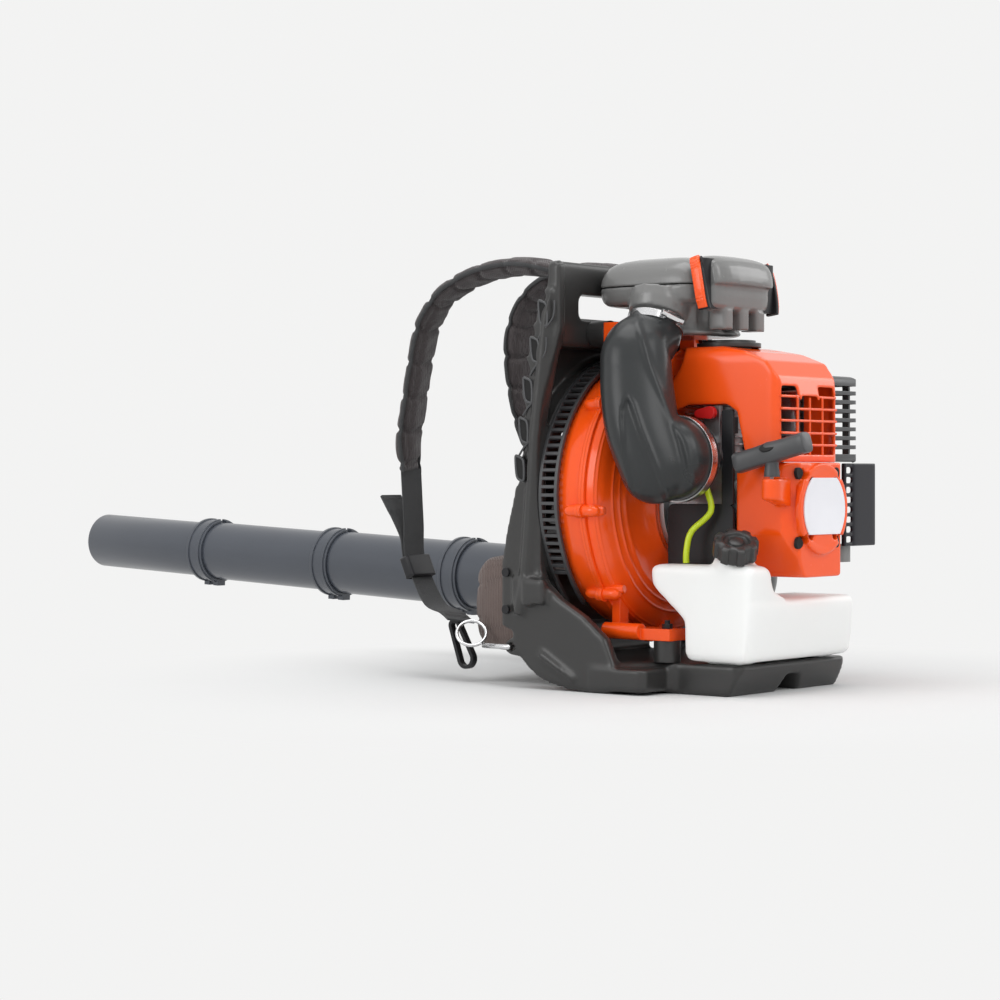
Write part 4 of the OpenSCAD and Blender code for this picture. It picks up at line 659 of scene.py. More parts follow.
class BLOWER_OT_hard_parts(bpy.types.Operator):
    """Dresses the nodes whose own shape is shown."""
    bl_idname = "blower.hard_parts"
    bl_label = "Hard parts"

    def execute(self, context):
        for finish, nodes in DRESSED.items():
            for node in nodes:
                dress(node, finish)
        self.free_bellows(bpy.data.objects["bellows_skin"])
        rope = bpy.data.objects["recoil_rope_skin"]
        co = points_of(rope)
        (x, y), low, high = co[0, :2], co[:, 2].min(), co[:, 2].max()
        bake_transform(rope, "blower", "starter_pull", (x, y, low + MM), (x, y, high - MM))
        return {"FINISHED"}

    def free_bellows(self, obj):
        """Opens the bellows' last convolution by 3 mm and its end cuff by 0.9 mm and
        shortens it by 4 mm, so the tube swings clear, and bends the bellows with the tube's
        lift: a point s mm along the axis from the lift's centre and r mm from the axis moves
        to s - 4 smooth(24.5, 42, s) and r + 3 w(s), where w rises to 1 and falls to 0.3."""
        axis = unit(TUBE_SWING - TUBE_LIFT)
        co = points_of(obj) / MM - TUBE_LIFT
        s = co @ axis
        out = co - s[:, None] * axis
        r = np.linalg.norm(out, axis=1)
        more = 3 * smooth(8, 16, s) * (1 - 0.7 * smooth(19, 24, s)) * smooth(42, 40.5, r)
        s = s - 4 * smooth(24.5, 42, s)
        set_points(obj, (TUBE_LIFT + s[:, None] * axis
                         + out * (1 + more / r)[:, None]) * MM)
        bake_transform(obj, "blower", "tube_ring", (TUBE_LIFT - axis * 24) * MM,
                 (TUBE_LIFT + axis * 24) * MM)


# ---------- Moulded forms ----------

AHEAD = np.array([0.7771, 0.6293, 0.0])
ACROSS = np.array([0.6293, -0.7771, 0.0])
SPOUT = np.array([-62.0, -32.0, 426.0])
SPOUT_AXIS = np.array([-0.4067, 0.0, -0.9135])


def block(plan, levels, e=0.32, n=96):
    """Rings P = centre + (a - inset) cos^e, (b - inset) sin^e at height z, for a plan of
    centre x, y and half sizes a, b, and levels of (inset, z)."""
    cx, cy, a, b = plan
    inset, z = np.asarray(levels, float).T
    ring = oval(n, e)
    x = cx + np.maximum(a - inset, 0.2)[:, None] * ring[:, 0]
    y = cy + np.maximum(b - inset, 0.2)[:, None] * ring[:, 1]
    return np.stack([x, y, np.broadcast_to(z[:, None], x.shape)], -1)


def rod(a, b, r, n=32, steps=2):
    """A round bar from a to b; r is a radius, or one radius for each step."""
    a, b = np.asarray(a, float), np.asarray(b, float)
    t = np.linspace(0, 1, max(steps, np.size(r)))
    side = [1, 0, 0] if abs((b - a)[0]) < 0.8 * np.linalg.norm(b - a) else [0, 1, 0]
    radius = np.broadcast_to(np.asarray(r, float).reshape(-1, 1, 1), (len(t), n, 2))
    return carried(a + (b - a) * t[:, None], side, oval(n) * radius)


def brick(lo, hi, e=0.18, n=40):
    """A box between two corners with rounded upright edges."""
    lo, hi = np.asarray(lo, float), np.asarray(hi, float)
    mid, half = (lo + hi) / 2, (hi - lo) / 2
    return block((mid[0], mid[1], half[0], half[1]), [(0, lo[2]), (0, hi[2])], e, n)


class BLOWER_OT_intake(bpy.types.Operator):
    """Makes the rubber intake hose with its drum, pressed panel and long ridge."""
    bl_idname = "blower.intake"
    bl_label = "Intake hose"

    def execute(self, context):
        top = [SPOUT + SPOUT_AXIS * s for s in (14, 24, 34)]
        line = curve([*top, [-106, -33, 377], [-112, -36, 352], [-117, -42, 325],
                      [-121, -50, 295], [-121, -60, 268], [-119, -68, 246]], 8)
        z = line[:, 2]
        wide = np.interp(-z, [-414, -404, -396, -384, -372, -350, -320, -285, -246],
                         [30, 30, 31.5, 36, 39, 40, 41, 41, 39])
        deep = np.interp(-z, [-414, -404, -396, -380, -350, -320, -285, -246],
                         [30, 30, 31, 33, 35, 35, 35, 34])
        ring = oval(48, 0.86)
        tube = carried(line, ACROSS, np.stack([wide[:, None] * ring[:, 0],
                                               deep[:, None] * ring[:, 1]], -1))
        turn = np.linspace(0, 1, 9)[1:, None] * np.pi / 2
        tip = line[-1] + headings(line)[-1] * 38 * np.sin(turn)
        shrink = np.cos(turn)
        cap = carried(tip, ACROSS, np.stack([wide[-1] * shrink * ring[:, 0],
                                             deep[-1] * shrink * ring[:, 1]], -1))
        body = np.concatenate([tube, cap])
        drum = rod([-122, -77, 258], [-72.3, -77, 258],
                   [38, 44, 45.4, 45.8, 45.8, 45.8, 45.8, 45.8, 45.8, 44.5], 56)

        def pressed(co):
            """A panel 4.5 mm deep between two lines, with a bead 1.3 mm high along it, and
            a ridge 2.6 exp(-((w - w0(z)) / 4.2)^2), all on the side away from the fan."""
            w, h = co @ ACROSS, co[:, 2]
            middle = np.interp(h, line[::-1, 2], (line @ AHEAD)[::-1])
            front = smooth(4, 18, middle - co @ AHEAD) * smooth(200, 216, h)
            left = np.interp(h, [205, 216, 268, 300, 312, 326],
                             [-47, -51, -62, -63.5, -63, -57])
            right = np.interp(h, [209, 245.5, 289.6, 318, 326], [-9, -23, -40, -49, -53])
            inside = smooth(0, 6, np.minimum(np.minimum(w - left, right - w), 330 - h))
            bead = np.exp(-((w - right - 1.5) / 2.2) ** 2) * smooth(330, 318, h) * 1.3
            line0 = np.interp(h, [225, 234, 278, 322, 361, 394, 405],
                              [18, 16.5, 5, -14.5, -30, -38.7, -42])
            ridge = np.exp(-((w - line0) / 4.2) ** 2) * 2.6
            return co + AHEAD * ((inside * 4.5 - bead - ridge) * front)[:, None]

        moulded("intake_body", "hose_rubber", [], [body, drum], 2.2, 14, shape=pressed,
                stands_for=["intake_hose"])
        return {"FINISHED"}


LATCH_LINE = [[-76.5, -101, 424], [-78.8, -99.5, 434], [-79.6, -97, 450], [-79, -93.5, 466],
              [-77, -90.5, 475], [-74.5, -88.5, 480]]


class BLOWER_OT_filter(bpy.types.Operator):
    """Makes the filter box, its spout, its rear cover and the two ribbed latches, with black pieces behind
    and round the latches as painted shade of their recess.
    """
    bl_idname = "blower.filter"
    bl_label = "Air filter"

    def execute(self, context):
        plan = (-5, -20, 75, 70)
        bowl = block((-6, -28, 50, 54), [(4, 396), (-1, 397.5), (-2.5, 400), (0, 404),
                                         (2, 412), (0, 424), (-6, 436)], 0.55)
        a = np.arctan2(bowl[..., 1] + 28, bowl[..., 0] + 6)
        flute = 1 - 0.085 * smooth(0.1, 0.75, np.sin(a * 11 + 0.6)) * smooth(
            400, 405, bowl[..., 2])
        bowl[..., 0] = -6 + (bowl[..., 0] + 6) * flute
        bowl[..., 1] = -28 + (bowl[..., 1] + 28) * flute
        low = block(plan, [(16, 430), (7, 431.5), (3, 435), (1, 441), (0.2, 450.5),
                           (0.9, 451.7)])
        spout = rod(SPOUT - SPOUT_AXIS * 14, SPOUT + SPOUT_AXIS * 26, 26)
        socket = rod(SPOUT - SPOUT_AXIS * 14, SPOUT + SPOUT_AXIS * 10, [37, 36, 33])
        moulded("filter_low", "grey", [], [bowl, low, spout, socket], 1.8, 5,
                stands_for=["filter_base"])
        high = block(plan, [(0.9, 452.5), (0.2, 453.7), (1.2, 460), (4, 468), (8.5, 474.5),
                            (14, 478.5), (22, 481.5), (34, 484), (50, 485.6), (69, 486.4)])
        part("filter_dome", high, "grey", "filter_top")

        side = np.array([(-84, 485), (-95, 484.5), (-104, 482), (-111, 478), (-115.5, 471),
                         (-118, 462), (-119, 454), (-117, 451.4), (-112, 450.6), (-110, 448),
                         (-110.5, 438), (-109, 428), (-105, 423.5), (-100, 421.5), (-91, 420)])
        mid = np.array([-91, 450])
        x = np.array([-64, -63.8, -63, -61, -58, -52, -44, -30, -7, 16, 30, 38, 44, 47, 49,
                      49.8, 50])
        pull = np.interp(np.abs(x + 7), [0, 23, 37, 45, 51, 54, 56, 56.8, 57],
                         [1, 0.985, 0.95, 0.90, 0.83, 0.77, 0.68, 0.60, 0.52])
        rows = mid + (side - mid)[None] * np.stack([pull, 0.5 + pull / 2], -1)[:, None]
        grid = np.concatenate([np.broadcast_to(x[:, None, None], (*rows.shape[:2], 1)),
                               rows], -1)
        flutes = [brick((c - 9, -108, 402), (c + 9, -84, 424), 0.4) for c in (-34, -2, 30)]
        moulded("filter_lid_skin", "grey", [], [grid] + flutes, 1.5, 3,
                stands_for=["filter_cover"])
        # A black block behind the latches: painted shade that darkens the recess round them.
        part("filter_lid_shade_block", brick((-75.5, -103, 424), (65.5, -90, 479), 0.3), "black",
             "filter_cover")

        for s, name in ((-1, "left"), (1, "right")):
            line = curve(LATCH_LINE, 10)
            if s > 0:
                line[:, 0] = -10 - line[:, 0]
            run = lengths(line)
            thick = 2.2 + 0.9 * np.abs(np.sin(np.pi * run / 3.4)) * smooth(4, 8, run) * (
                smooth(run[-1], run[-1] - 6, run))
            ring = oval(24, 0.45)
            strip = carried(line, [0, 1, 0], np.stack([np.broadcast_to(
                5.9 * ring[:, 0], (len(line), 24)), thick[:, None] * ring[:, 1]], -1))
            part("latch_strip_" + name, strip, "orange", "filter_latch_" + name)
            # A black strip under and round each latch: painted shade of the latch's recess.
            latch_shade_strip = carried(line + [-s * 3.4, 0, -1.5], [0, 1, 0], oval(24, 0.4) * [7.6, 2.4])
            surface("latch_shade_" + name, latch_shade_strip, "black", "filter_lid", "black")
        return {"FINISHED"}


class BLOWER_OT_back_frame(bpy.types.Operator):
    """Makes the back frame as one moulding, with its base pan and laced rail edges."""
    bl_idname = "blower.back_frame"
    bl_label = "Back frame"

    def execute(self, context):
        edge_z = [141, 177, 234, 262, 324, 380, 435, 476]
        edge_y = [125, 118, 103, 101, 94, 85, 73, 70]
        fill = [brick((-152, -74, 3), (-86, 8, 28), 0.25),
                brick((89, -74, 3), (152, 8, 28), 0.25),
                brick((-150, 88, 30), (90, 96, 72))]
        for z in 430 - 37 * np.arange(5):
            y = np.interp(z, edge_z, edge_y)
            fill += [brick((-154.8, y - 20, z - 17), (-150.4, y - 1, z + 17)),
                     brick((151.4, y - 20, z - 17), (155.8, y - 1, z + 17))]

        def scalloped(co):
            """The rails' front edge drawn back between the windows by
            3.5 (1 - cos(2 pi (z - 248) / 43.2)), and their top by up to 15 mm more."""
            x, y, z = co.T
            edge = np.interp(z, edge_z, edge_y)
            rail = smooth(140, 148, np.abs(x - 3)) * smooth(222, 240, z) * smooth(448, 436, z)
            wave = 3.5 * (1 - np.cos(2 * np.pi * (z - 248) / 43.2))
            back = rail * wave * smooth(edge - 24, edge - 2, y)
            top = smooth(128, 146, np.abs(x - 3)) * smooth(405, 462, z) * 15
            return co - np.outer(back + top * smooth(44, 68, y), [0, 1, 0])

        ridge = curve([[56, 446], [66, 361], [76, 279], [80, 220], [88, 130], [98, 84]], 6)
        for x in (-151.5, 152.5):
            line = np.insert(ridge, 0, x, axis=1)
            fill.append(carried(line, [1, 0, 0], oval(16) * [6.5, 7.5]))
        fill += [brick((-160.5, 58, 96), (-148, 88, 124), 0.25),
                 brick((-104, -84, 1), (-86, -54, 33.5), 0.5),
                 rod([-152, 68, 40], [-150, 22, 14], [3.5, 3.5], 12)]
        moulded("frame_skin", "charcoal", ["frame"], fill, 2.7, 5, shape=scalloped)
        rims, window_shades = [], []
        wave = np.array([(-16, 13), (-16, 4), (-14, -5.6), (-7, -14), (0, -20), (7, -29)])
        for z, y in ((421, 60.5), (380.5, 72), (335.5, 82), (290.6, 88), (248, 93.5)):
            for x in (-155.4, 156.4):
                if z > 250:
                    bead = curve(np.insert(wave + [y, z], 0, x, axis=1), 5)
                    rims.append(carried(bead, [1, 0, 0], oval(8) * 1.2))
                path = np.array([[x, y + 3, z + 13], [x, y + 6, z + 12], [x, y + 4, z - 9],
                                 [x, y - 2, z - 14], [x, y - 6, z - 12], [x, y - 5, z + 8],
                                 [x, y + 3, z + 13]])
                path = curve(path, 5)
                rims.append(carried(path, [1, 0, 0], oval(10, 0.7) * [1.7, 1.5]))
                # A thin near-black patch in each rail window: painted shade of the opening.
                middle = path.mean(0)
                flat = middle + (path - middle) * 0.9
                window_shades.append(np.stack([flat - [0.6, 0, 0], flat + [0.6, 0, 0]]))
        part("rail_lace", rims, "handle", "frame", "charcoal")
        part("rail_windows", window_shades, "pit", "frame")
        return {"FINISHED"}


def scroll_r(a):
    """Radius of the fan's scroll at an angle in degrees: it grows as ((200 - a)/200)^1.2."""
    a = np.asarray(a, float)
    return 140 + 60 * np.where(a < 0, np.clip(1 + a / 40, 0, None),
                               np.clip((200 - a) / 200, 0, None) ** 1.2)


def scroll_skin(profile, bumps=()):
    """Sweeps a profile of (offset, y, pull to the hub) round the scroll, with ridges at
    some of the distances along it, as a wall 1.6 mm thick."""
    fine = curve(np.asarray(profile, float), 6)
    run = lengths(fine[:, :2])
    raise_ = sum((h * np.exp(-((run - at) / w) ** 2) for at, h, w in bumps), 0 * run)
    d, y, hub = fine.T
    d, y = np.concatenate([d + raise_ * 0.4, d[::-1] - 1.6]), np.concatenate(
        [y - raise_ * 0.9, y[::-1] + 1.0])
    hub = np.concatenate([hub, hub[::-1]])
    a = np.arange(-57, 292, 2.0)[:, None]
    r = (scroll_r(a) + d) * (1 - hub) + 65 * hub
    a = np.radians(a)
    return np.stack([r * np.cos(a), np.broadcast_to(y, r.shape),
                     CRANK_Z + r * np.sin(a)], -1)


def crank_polar(r, a, y):
    """A point at a radius and an angle in degrees round the crank's axis."""
    a = math.radians(a)
    return np.array([r * math.cos(a), y, CRANK_Z + r * math.sin(a)])


class BLOWER_OT_fan_case(bpy.types.Operator):
    """Makes the fan housing's smooth skins, its ridges and its screw lugs."""
    bl_idname = "blower.fan_case"
    bl_label = "Fan housing"

    def execute(self, context):
        front = scroll_skin([(2.6, 16.2, 0), (2.5, 24, 0), (1.8, 34, 0), (0.2, 43, 0),
                             (-2.0, 49, 0), (-3.5, 52.6, 0), (-6.4, 56.2, 0),
                             (-10.5, 58.9, 0), (-15, 59.4, 0)])
        rear = scroll_skin([(2.6, 7.8, 0), (2.2, 3, 0), (0.8, -1.0, 0), (-3, -4.8, 0),
                            (-9, -7.8, 0), (-15.6, -9.9, 0), (-24, -12.4, 0),
                            (-32, -14.4, 0), (-40, -16.2, 0), (-42, -18, 0.30),
                            (-42, -22, 0.65), (-42, -28, 0.95), (-42, -30.8, 1.0)],
                           ((9, 0.9, 1.0), (13, 0.9, 1.0), (34, 1.3, 1.2),
                            (44, 1.3, 1.2), (53, 1.1, 1.2)))
        part("fan_case_rear", rear, "orange", "fan_housing_rear")
        part("fan_case_front", front, "orange", "fan_housing_front")
        lugs = []
        for a in (134, 181, 221, 262, 92, 52, 16):
            r = float(scroll_r(a)) + 5.6
            for y0, y1 in ((11.6, -12), (12.4, 34)):
                lugs.append(rod(crank_polar(r, a, y0), crank_polar(r, a, y1),
                                [6.3, 6.6, 6.6, 6.6, 6.6, 6.4, 5.4, 3.0], 24))
                lugs.append(rod(crank_polar(r - 4, a, y0), crank_polar(r - 9, a, y1 * 1.12),
                                [7.5, 7.2, 6.8, 6.0, 4.5], 24))
        part("fan_lugs", lugs, "orange", "fan_housing_rear")
        return {"FINISHED"}


class BLOWER_OT_engine_covers(bpy.types.Operator):
    """Makes the engine cover, the starter housing with its grip, and the exhaust guard."""
    bl_idname = "blower.engine_covers"
    bl_label = "Engine covers"

    def execute(self, context):
        def low_edge(co):
            """1 along the lower edge, which meets the starter."""
            return smooth(259, 256, co[:, 2])

        opening = [brick((-50, -200, 263), (56, -178, 322), 0.12),
                   brick((-50, -200, 300), (-20, -174, 337), 0.12),
                   brick((24, -200, 300), (56, -174, 337), 0.12)]
        moulded("cover_skin", "orange", ["cylinder_cover"], voxel=1.5, rounds=12,
                keep=low_edge, cuts=opening)
        bars = [rod([-54, -188.4 + max(0, z - 323) * 0.25, z],
                    [58, -188.4 + max(0, z - 323) * 0.25, z], 1.5, 12)
                for z in (273, 286, 299.5, 312.5)]
        bars += [rod([x0, -187.2, 326], [x1, -187.2, 326], 1.5, 12)
                 for x0, x1 in ((-54, -18), (22, 58))]
        bars += [rod([x, -188.2, 260], [x, -188.2, 325], 1.6, 12) for x in (-22, 3, 29)]
        part("vent_bars", bars, "orange", "cylinder_cover")
        moulded("starter_skin", "orange", ["starter_housing"], voxel=1.25)
        a = np.arange(28) * 2 * np.pi / 28
        # Near-black plugs in the starter housing's teardrop holes: painted shade of their depth.
        pits = []
        for x, z, turn in ((-41, 241, 2.3), (33, 241, 0.9), (-41, 167, -2.3), (33, 167, -0.9)):
            r = 6.2 * (1 + 0.28 * np.cos(a - turn) ** 3)
            face = np.stack([x + r * np.cos(a), 0 * a, z + r * np.sin(a)], -1)
            pits.append(np.stack([face + [0, y, 0] for y in (-203.9, -200)]))
        part("starter_hole_shades", pits, "pit", "starter_housing")

        tilt = math.radians(-14.5)
        along = np.array([0, math.cos(tilt), math.sin(tilt)])
        hub = np.array([-76.0, -190.0, 264.0])
        s = np.array([-46, -45.6, -44, -38, -20, -8, 0, 8, 20, 38, 44, 45.6, 46])
        size = np.interp(np.abs(s), [0, 10, 30, 44, 45.6, 46],
                         [1.06, 0.98, 0.95, 1.0, 0.94, 0.82])
        ring = oval(32, 0.62) * [10.5, 11.5]
        bar = carried(hub + along * s[:, None], [1, 0, 0], ring * size[:, None, None])
        stem = rod(hub + [0, 0, -26], hub, [8.6, 8.4, 7.6, 7.6, 8.4, 10.5], 28)
        part("grip", [bar, stem], "handle", "recoil_handle")
        out = unit([-0.86, 0.0, 0.5])
        # A near-black plug in the grip's eye: painted shade of the hole.
        part("grip_eye_shade", carried(hub + out * [[7.0], [12.0]], along, oval(28) * [9.5, 5.0]),
             "pit", "recoil_handle")

        plates = [brick((160, -150, 157.5), (211, -144.5, 253.5), 0.3),
                  brick((206.5, -149.5, 160), (211.5, -118, 251), 0.4),
                  brick((142.5, -149, 157.5), (147, -143.5, 253.5), 0.5)]
        plates += [brick((145, -149, z), (162, -144, z + 4.4), 0.5)
                   for z in np.linspace(157.5, 249.1, 9)]
        plates += [brick((60, -147, 181), (150, -140, 195), 0.4),
                   brick((57, -146, 181), (62, -130, 229), 0.4)]
        moulded("exhaust_skin", "soot", [], plates, 1.2, 3, stands_for=["exhaust_guard"])
        part("exhaust_foot", brick((146, -142, 139), (172, -108, 160), 0.5), "grey",
             "muffler_guard")
        return {"FINISHED"}


CAP_AT = np.array([-84.0, -146.0, 136.0])
CAP_AXIS = unit([-0.382, -0.342, 0.858])


class BLOWER_OT_tank(bpy.types.Operator):
    """Makes the blow-moulded tank and the lobed fuel cap."""
    bl_idname = "blower.tank"
    bl_label = "Fuel tank"

    def execute(self, context):
        bulge = rod(CAP_AT - CAP_AXIS * 34, CAP_AT + CAP_AXIS * 14, [30, 29, 27, 25, 23, 22],
                    40)
        moulded("tank_skin", "tank", ["fuel_tank"], [bulge], 2.0, 26)
        a = np.arange(192) * 2 * np.pi / 192
        lobes = smooth(-0.35, 0.25, np.cos(8 * a))
        levels = np.array([(18.0, 20.6, 0), (21.5, 20.4, 0), (22.3, 21.2, 1), (22.5, 27, 1),
                           (22.3, 37.5, 1), (20.6, 39.6, 1), (16.5, 40.3, 0.4),
                           (14.4, 39.4, 0),
                           (13.2, 36.6, 0), (9, 36.0, 0), (8.2, 38.4, 0), (5, 39.4, 0),
                           (0.3, 39.6, 0)])
        r = levels[:, :1] + levels[:, 2:] * (3.0 * lobes - 0.6)
        side = unit(np.cross(CAP_AXIS, [0, 1, 0]))
        other = np.cross(CAP_AXIS, side)
        grid = (CAP_AT + CAP_AXIS * levels[:, 1][:, None, None]
                + side * (r * np.cos(a))[..., None] + other * (r * np.sin(a))[..., None])
        part("cap_knob", grid, "charcoal", "fuel_cap")
        return {"FINISHED"}


# ---------- Soft goods ----------

FRAME_MID = 3.0
WEB_WIDTH, WEB_THICK = 36, 2.2
PAD_LINES = {
    -1: [[75, 468], [123, 480], [162, 483], [213, 476], [259, 457], [288, 428], [299, 402],
         [309, 360], [319, 306], [323, 280], [320, 243]],
    1: [[75, 466], [123, 481], [165, 489], [208, 486], [243, 471], [267, 447], [280, 416],
        [282, 388], [278, 354], [270, 320], [260, 288], [252, 264]]}


def pad_path(s, steps=8):
    """Centre line of a shoulder pad, from the frame's top over the shoulder."""
    return curve([[FRAME_MID + s * 84, y, z] for y, z in PAD_LINES[s]], steps)


def pad_axes(s, path):
    """Across and outward directions at each point; the width turns 15 degrees about Z."""
    t = lengths(path) / lengths(path)[-1]
    a = np.radians(15 * np.minimum(1, t / 0.4))
    d = headings(path)
    side = np.stack([np.cos(a), -s * np.sin(a), 0 * a], -1)
    u = unit(side - (side * d).sum(-1, keepdims=True) * d)
    return u, np.cross(d, u)


def pad_width(t, full):
    """Narrow at the sewn end, full by an eighth of the way, a little narrower at the tip."""
    return np.where(t < 0.12, 30 + (full - 30) * np.sin(np.pi / 2 * np.minimum(t, 0.12)
                    / 0.12), full - 10 * np.clip((t - 0.9) / 0.1, 0, 1))


def pad_thick(t, full):
    """Flat at the sewn end, full after a tenth of the way, pressed flat at the tip."""
    return np.where(t < 0.1, 5 + (full - 5) * t / 0.1,
                    full * (1 - 5.5 * np.clip(t - 0.93, 0, 0.07)))


def swell(obj, voxel, pressure, cap, frames=20):
    """Remeshes a closed shape evenly and blows it up as cloth under pressure, without
    gravity. No point moves by more than the cap."""
    remesh = obj.modifiers.new("even", "REMESH")
    remesh.mode, remesh.voxel_size = "VOXEL", voxel
    bake(obj)
    rest = points_of(obj)
    cloth = obj.modifiers.new("swell", "CLOTH")
    cloth.settings.effector_weights.gravity = 0
    cloth.settings.use_pressure = True
    cloth.settings.uniform_pressure_force = pressure
    cloth.point_cache.frame_end = frames
    for f in range(1, frames + 1):
        bpy.context.scene.frame_set(f)
    bake(obj)
    bpy.context.scene.frame_set(1)
    move = points_of(obj) - rest
    far = np.linalg.norm(move, axis=1, keepdims=True)
    set_points(obj, rest + move * np.minimum(1, cap / np.maximum(far, 1e-9)))
    fine = obj.modifiers.new("fine", "SUBSURF")
    fine.levels = fine.render_levels = 1
    bake(obj)


def place_on(path, u, v, co):
    """For each point: the nearest path index, the distance run, and its offsets along the
    across and outward directions there."""
    near = np.empty(len(co), int)
    for k in range(0, len(co), 4000):
        gap = co[k:k + 4000, None, :] - path[None, :, :]
        near[k:k + 4000] = (gap ** 2).sum(-1).argmin(1)
    off = co - path[near]
    d = headings(path)[near]
    run = lengths(path)[near] + (off * d).sum(-1)
    return near, run, (off * u[near]).sum(-1), (off * v[near]).sum(-1)


def dent(run, lines, width):
    """Sum of rounded valleys exp(-(distance / width)^2) at each line, at most 1."""
    return np.minimum(1, np.exp(-((run[:, None] - np.asarray(lines)[None, :])
                                  / width) ** 2).sum(1))


def shoulder_pad(s, settings):
    """A quilted shoulder pad: swollen, then sewn down across its channels and along the
    seams that hold its edge tape."""
    path = pad_path(s)
    u, v = pad_axes(s, path)
    t = lengths(path) / lengths(path)[-1]
    full_w, full_t = settings.pad_width / MM, settings.pad_thick / MM
    half = np.stack([pad_width(t, full_w - 5) / 2, pad_thick(t, full_t - 3.5) / 2], -1)
    ring = oval(28, 0.62)
    grid = (path[:, None, :] + u[:, None, :] * (half[:, :1] * ring[:, 0])[..., None]
            + v[:, None, :] * (half[:, 1:] * ring[:, 1])[..., None])
    side = "left" if s < 0 else "right"
    pad = surface("pad_" + side, grid, "pad_cloth")
    swell(pad, 0.004, 4.0, 0.0035)
    co = points_of(pad) / MM
    near, run, across, out = place_on(path, u, v, co)
    total = lengths(path)[-1]
    lines = np.linspace(0.10, 0.97, settings.quilts + 1) * total
    wave = run + 3.0 * np.sin(across / 9.0)
    deep = dent(wave, lines, 3.4) * 3.4 * np.sign(out) * np.minimum(1, np.abs(out) / 3)
    rows = np.minimum(1, np.exp(-((np.abs(across) - half[near, 0] * 0.62) / 2.0) ** 2))
    crease = 0.5 * np.sin(run / 4.1 + across / 7.0) * np.exp(-(across / 20) ** 2)
    inner = np.exp(-((np.abs(across) - half[near, 0]) / 6.0) ** 2)
    co -= v[near] * (deep + rows * 1.3 * np.sign(out) + crease * np.sign(out))[:, None]
    co -= u[near] * (dent(run, lines, 4.0) * 3.6 * inner * np.sign(across))[:, None]
    set_points(pad, co * MM)
    finish_mesh(pad, "pad_cloth", "blower", 60)
    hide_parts("shoulder_pad_" + side)

    edge = []
    for k in (-1, 1):
        e = path + u * (k * (pad_width(t, full_w) / 2 - 2.6))[:, None]
        e = e - u * k * (dent(lengths(path), lines, 4.0) * 2.9)[:, None]
        edge.append(carried(e, u, oval(10, 0.8) * [1.5, 2.6]))
    part("pad_tape_" + side, edge, "webbing", "shoulder_pad_" + side,
         uvs=[cloth_uv(g) for g in edge])


def cloth_uv(grid):
    """U is the length round a row and V the length along the columns, in centimetres."""
    around = np.linalg.norm(np.diff(np.concatenate([grid, grid[:, :1]], 1), axis=1),
                            axis=-1).mean(0)
    u = np.concatenate([[0], np.cumsum(around)[:-1]]) / 10
    v = lengths(grid.mean(1)) / 10
    return np.stack(np.broadcast_arrays(u[None, :], v[:, None]), -1)


BUCKLE = {-1: (np.array([-91.0, 300, 131]), 24.0), 1: (np.array([96.0, 232, 132]), 9.0)}


def on_buckle(s, out, up):
    """A point in a buckle, out from the wearer's side and up along the webbing."""
    at, lean = BUCKLE[s]
    a = math.radians(lean)
    return at + [0, out * math.cos(a) + up * math.sin(a),
                 up * math.cos(a) - out * math.sin(a)]


def ring_axis(s):
    """Direction of the axis of a D-ring."""
    return unit([s * 0.62, -0.5, 0.6])


def ring_rim(s, direction, off):
    """The point on a D-ring's rim towards a direction, and a little further out."""
    a = ring_axis(s)
    flat = np.array(direction) - (np.array(direction) @ a) * a
    return np.array([FRAME_MID + s * 127, 190, 57]) + unit(flat) * (19 + off)


def web_path(s):
    """The webbing from a pad's tip down through the buckle to its D-ring."""
    pad = pad_path(s, 4)
    ahead = headings(pad)[-1]
    line = {-1: [[-85, 315, 216], [-87, 311, 180], on_buckle(-1, 0, 16),
                 on_buckle(-1, 0, -16), [-100, 266, 88], [-112, 231, 79]],
            1: [[89, 243, 224], [92, 239, 180], on_buckle(1, 0, 16), on_buckle(1, 0, -16),
                [105, 224, 94], [116, 214, 80]]}[s]
    return curve([pad[-1] - ahead * 6] + [list(q) for q in line]
                 + [list(ring_rim(s, [0, 0.77, 0.64], 2))], 8)


def tail_path(s):
    """The webbing's loose end, from the buckle upwards and away from the wearer."""
    b = BUCKLE[s][0]
    return curve([list(on_buckle(s, 3, -8)), list(on_buckle(s, 3, 16)), list(b + [1, 14, 34]),
                  list(b + [2, 30, 60]), list(b + [2, 46, 84])], 8)


def strap(path, hem=0.0):
    """Webbing carried along a path across X, a little thicker at its two woven edges and
    where its end is folded under."""
    x, y = oval(20, 0.35).T
    edge = 1 + 0.25 * np.exp(-((np.abs(x) - 0.93) / 0.06) ** 2)
    run = lengths(path)
    fold = 1 + hem * smooth(run[-1] - 26, run[-1] - 24, run)
    flat = np.broadcast_arrays(x * WEB_WIDTH / 2, y * edge * WEB_THICK / 2 * fold[:, None])
    return carried(path, [1, 0, 0], np.stack(flat, -1))


def seam_threads(path, rows, lift):
    """Short raised stitches in rows across the webbing, laid on both of its faces."""
    d = headings(path)
    u = unit(np.array([1, 0, 0]) - d * d[:, :1])
    v = np.cross(d, u)
    run = lengths(path)
    out = []
    for at in rows:
        i = int(np.argmin(np.abs(run - at)))
        for x in np.arange(-WEB_WIDTH / 2 + 3, WEB_WIDTH / 2 - 2.5, 3.2):
            for face in (-1, 1):
                line = (path[i] + v[i] * face * lift
                        + u[i] * np.linspace(x, x + 3.2 * 0.66, 5)[:, None])
                out.append(carried(line, d[i], oval(6) * 0.35))
    return out


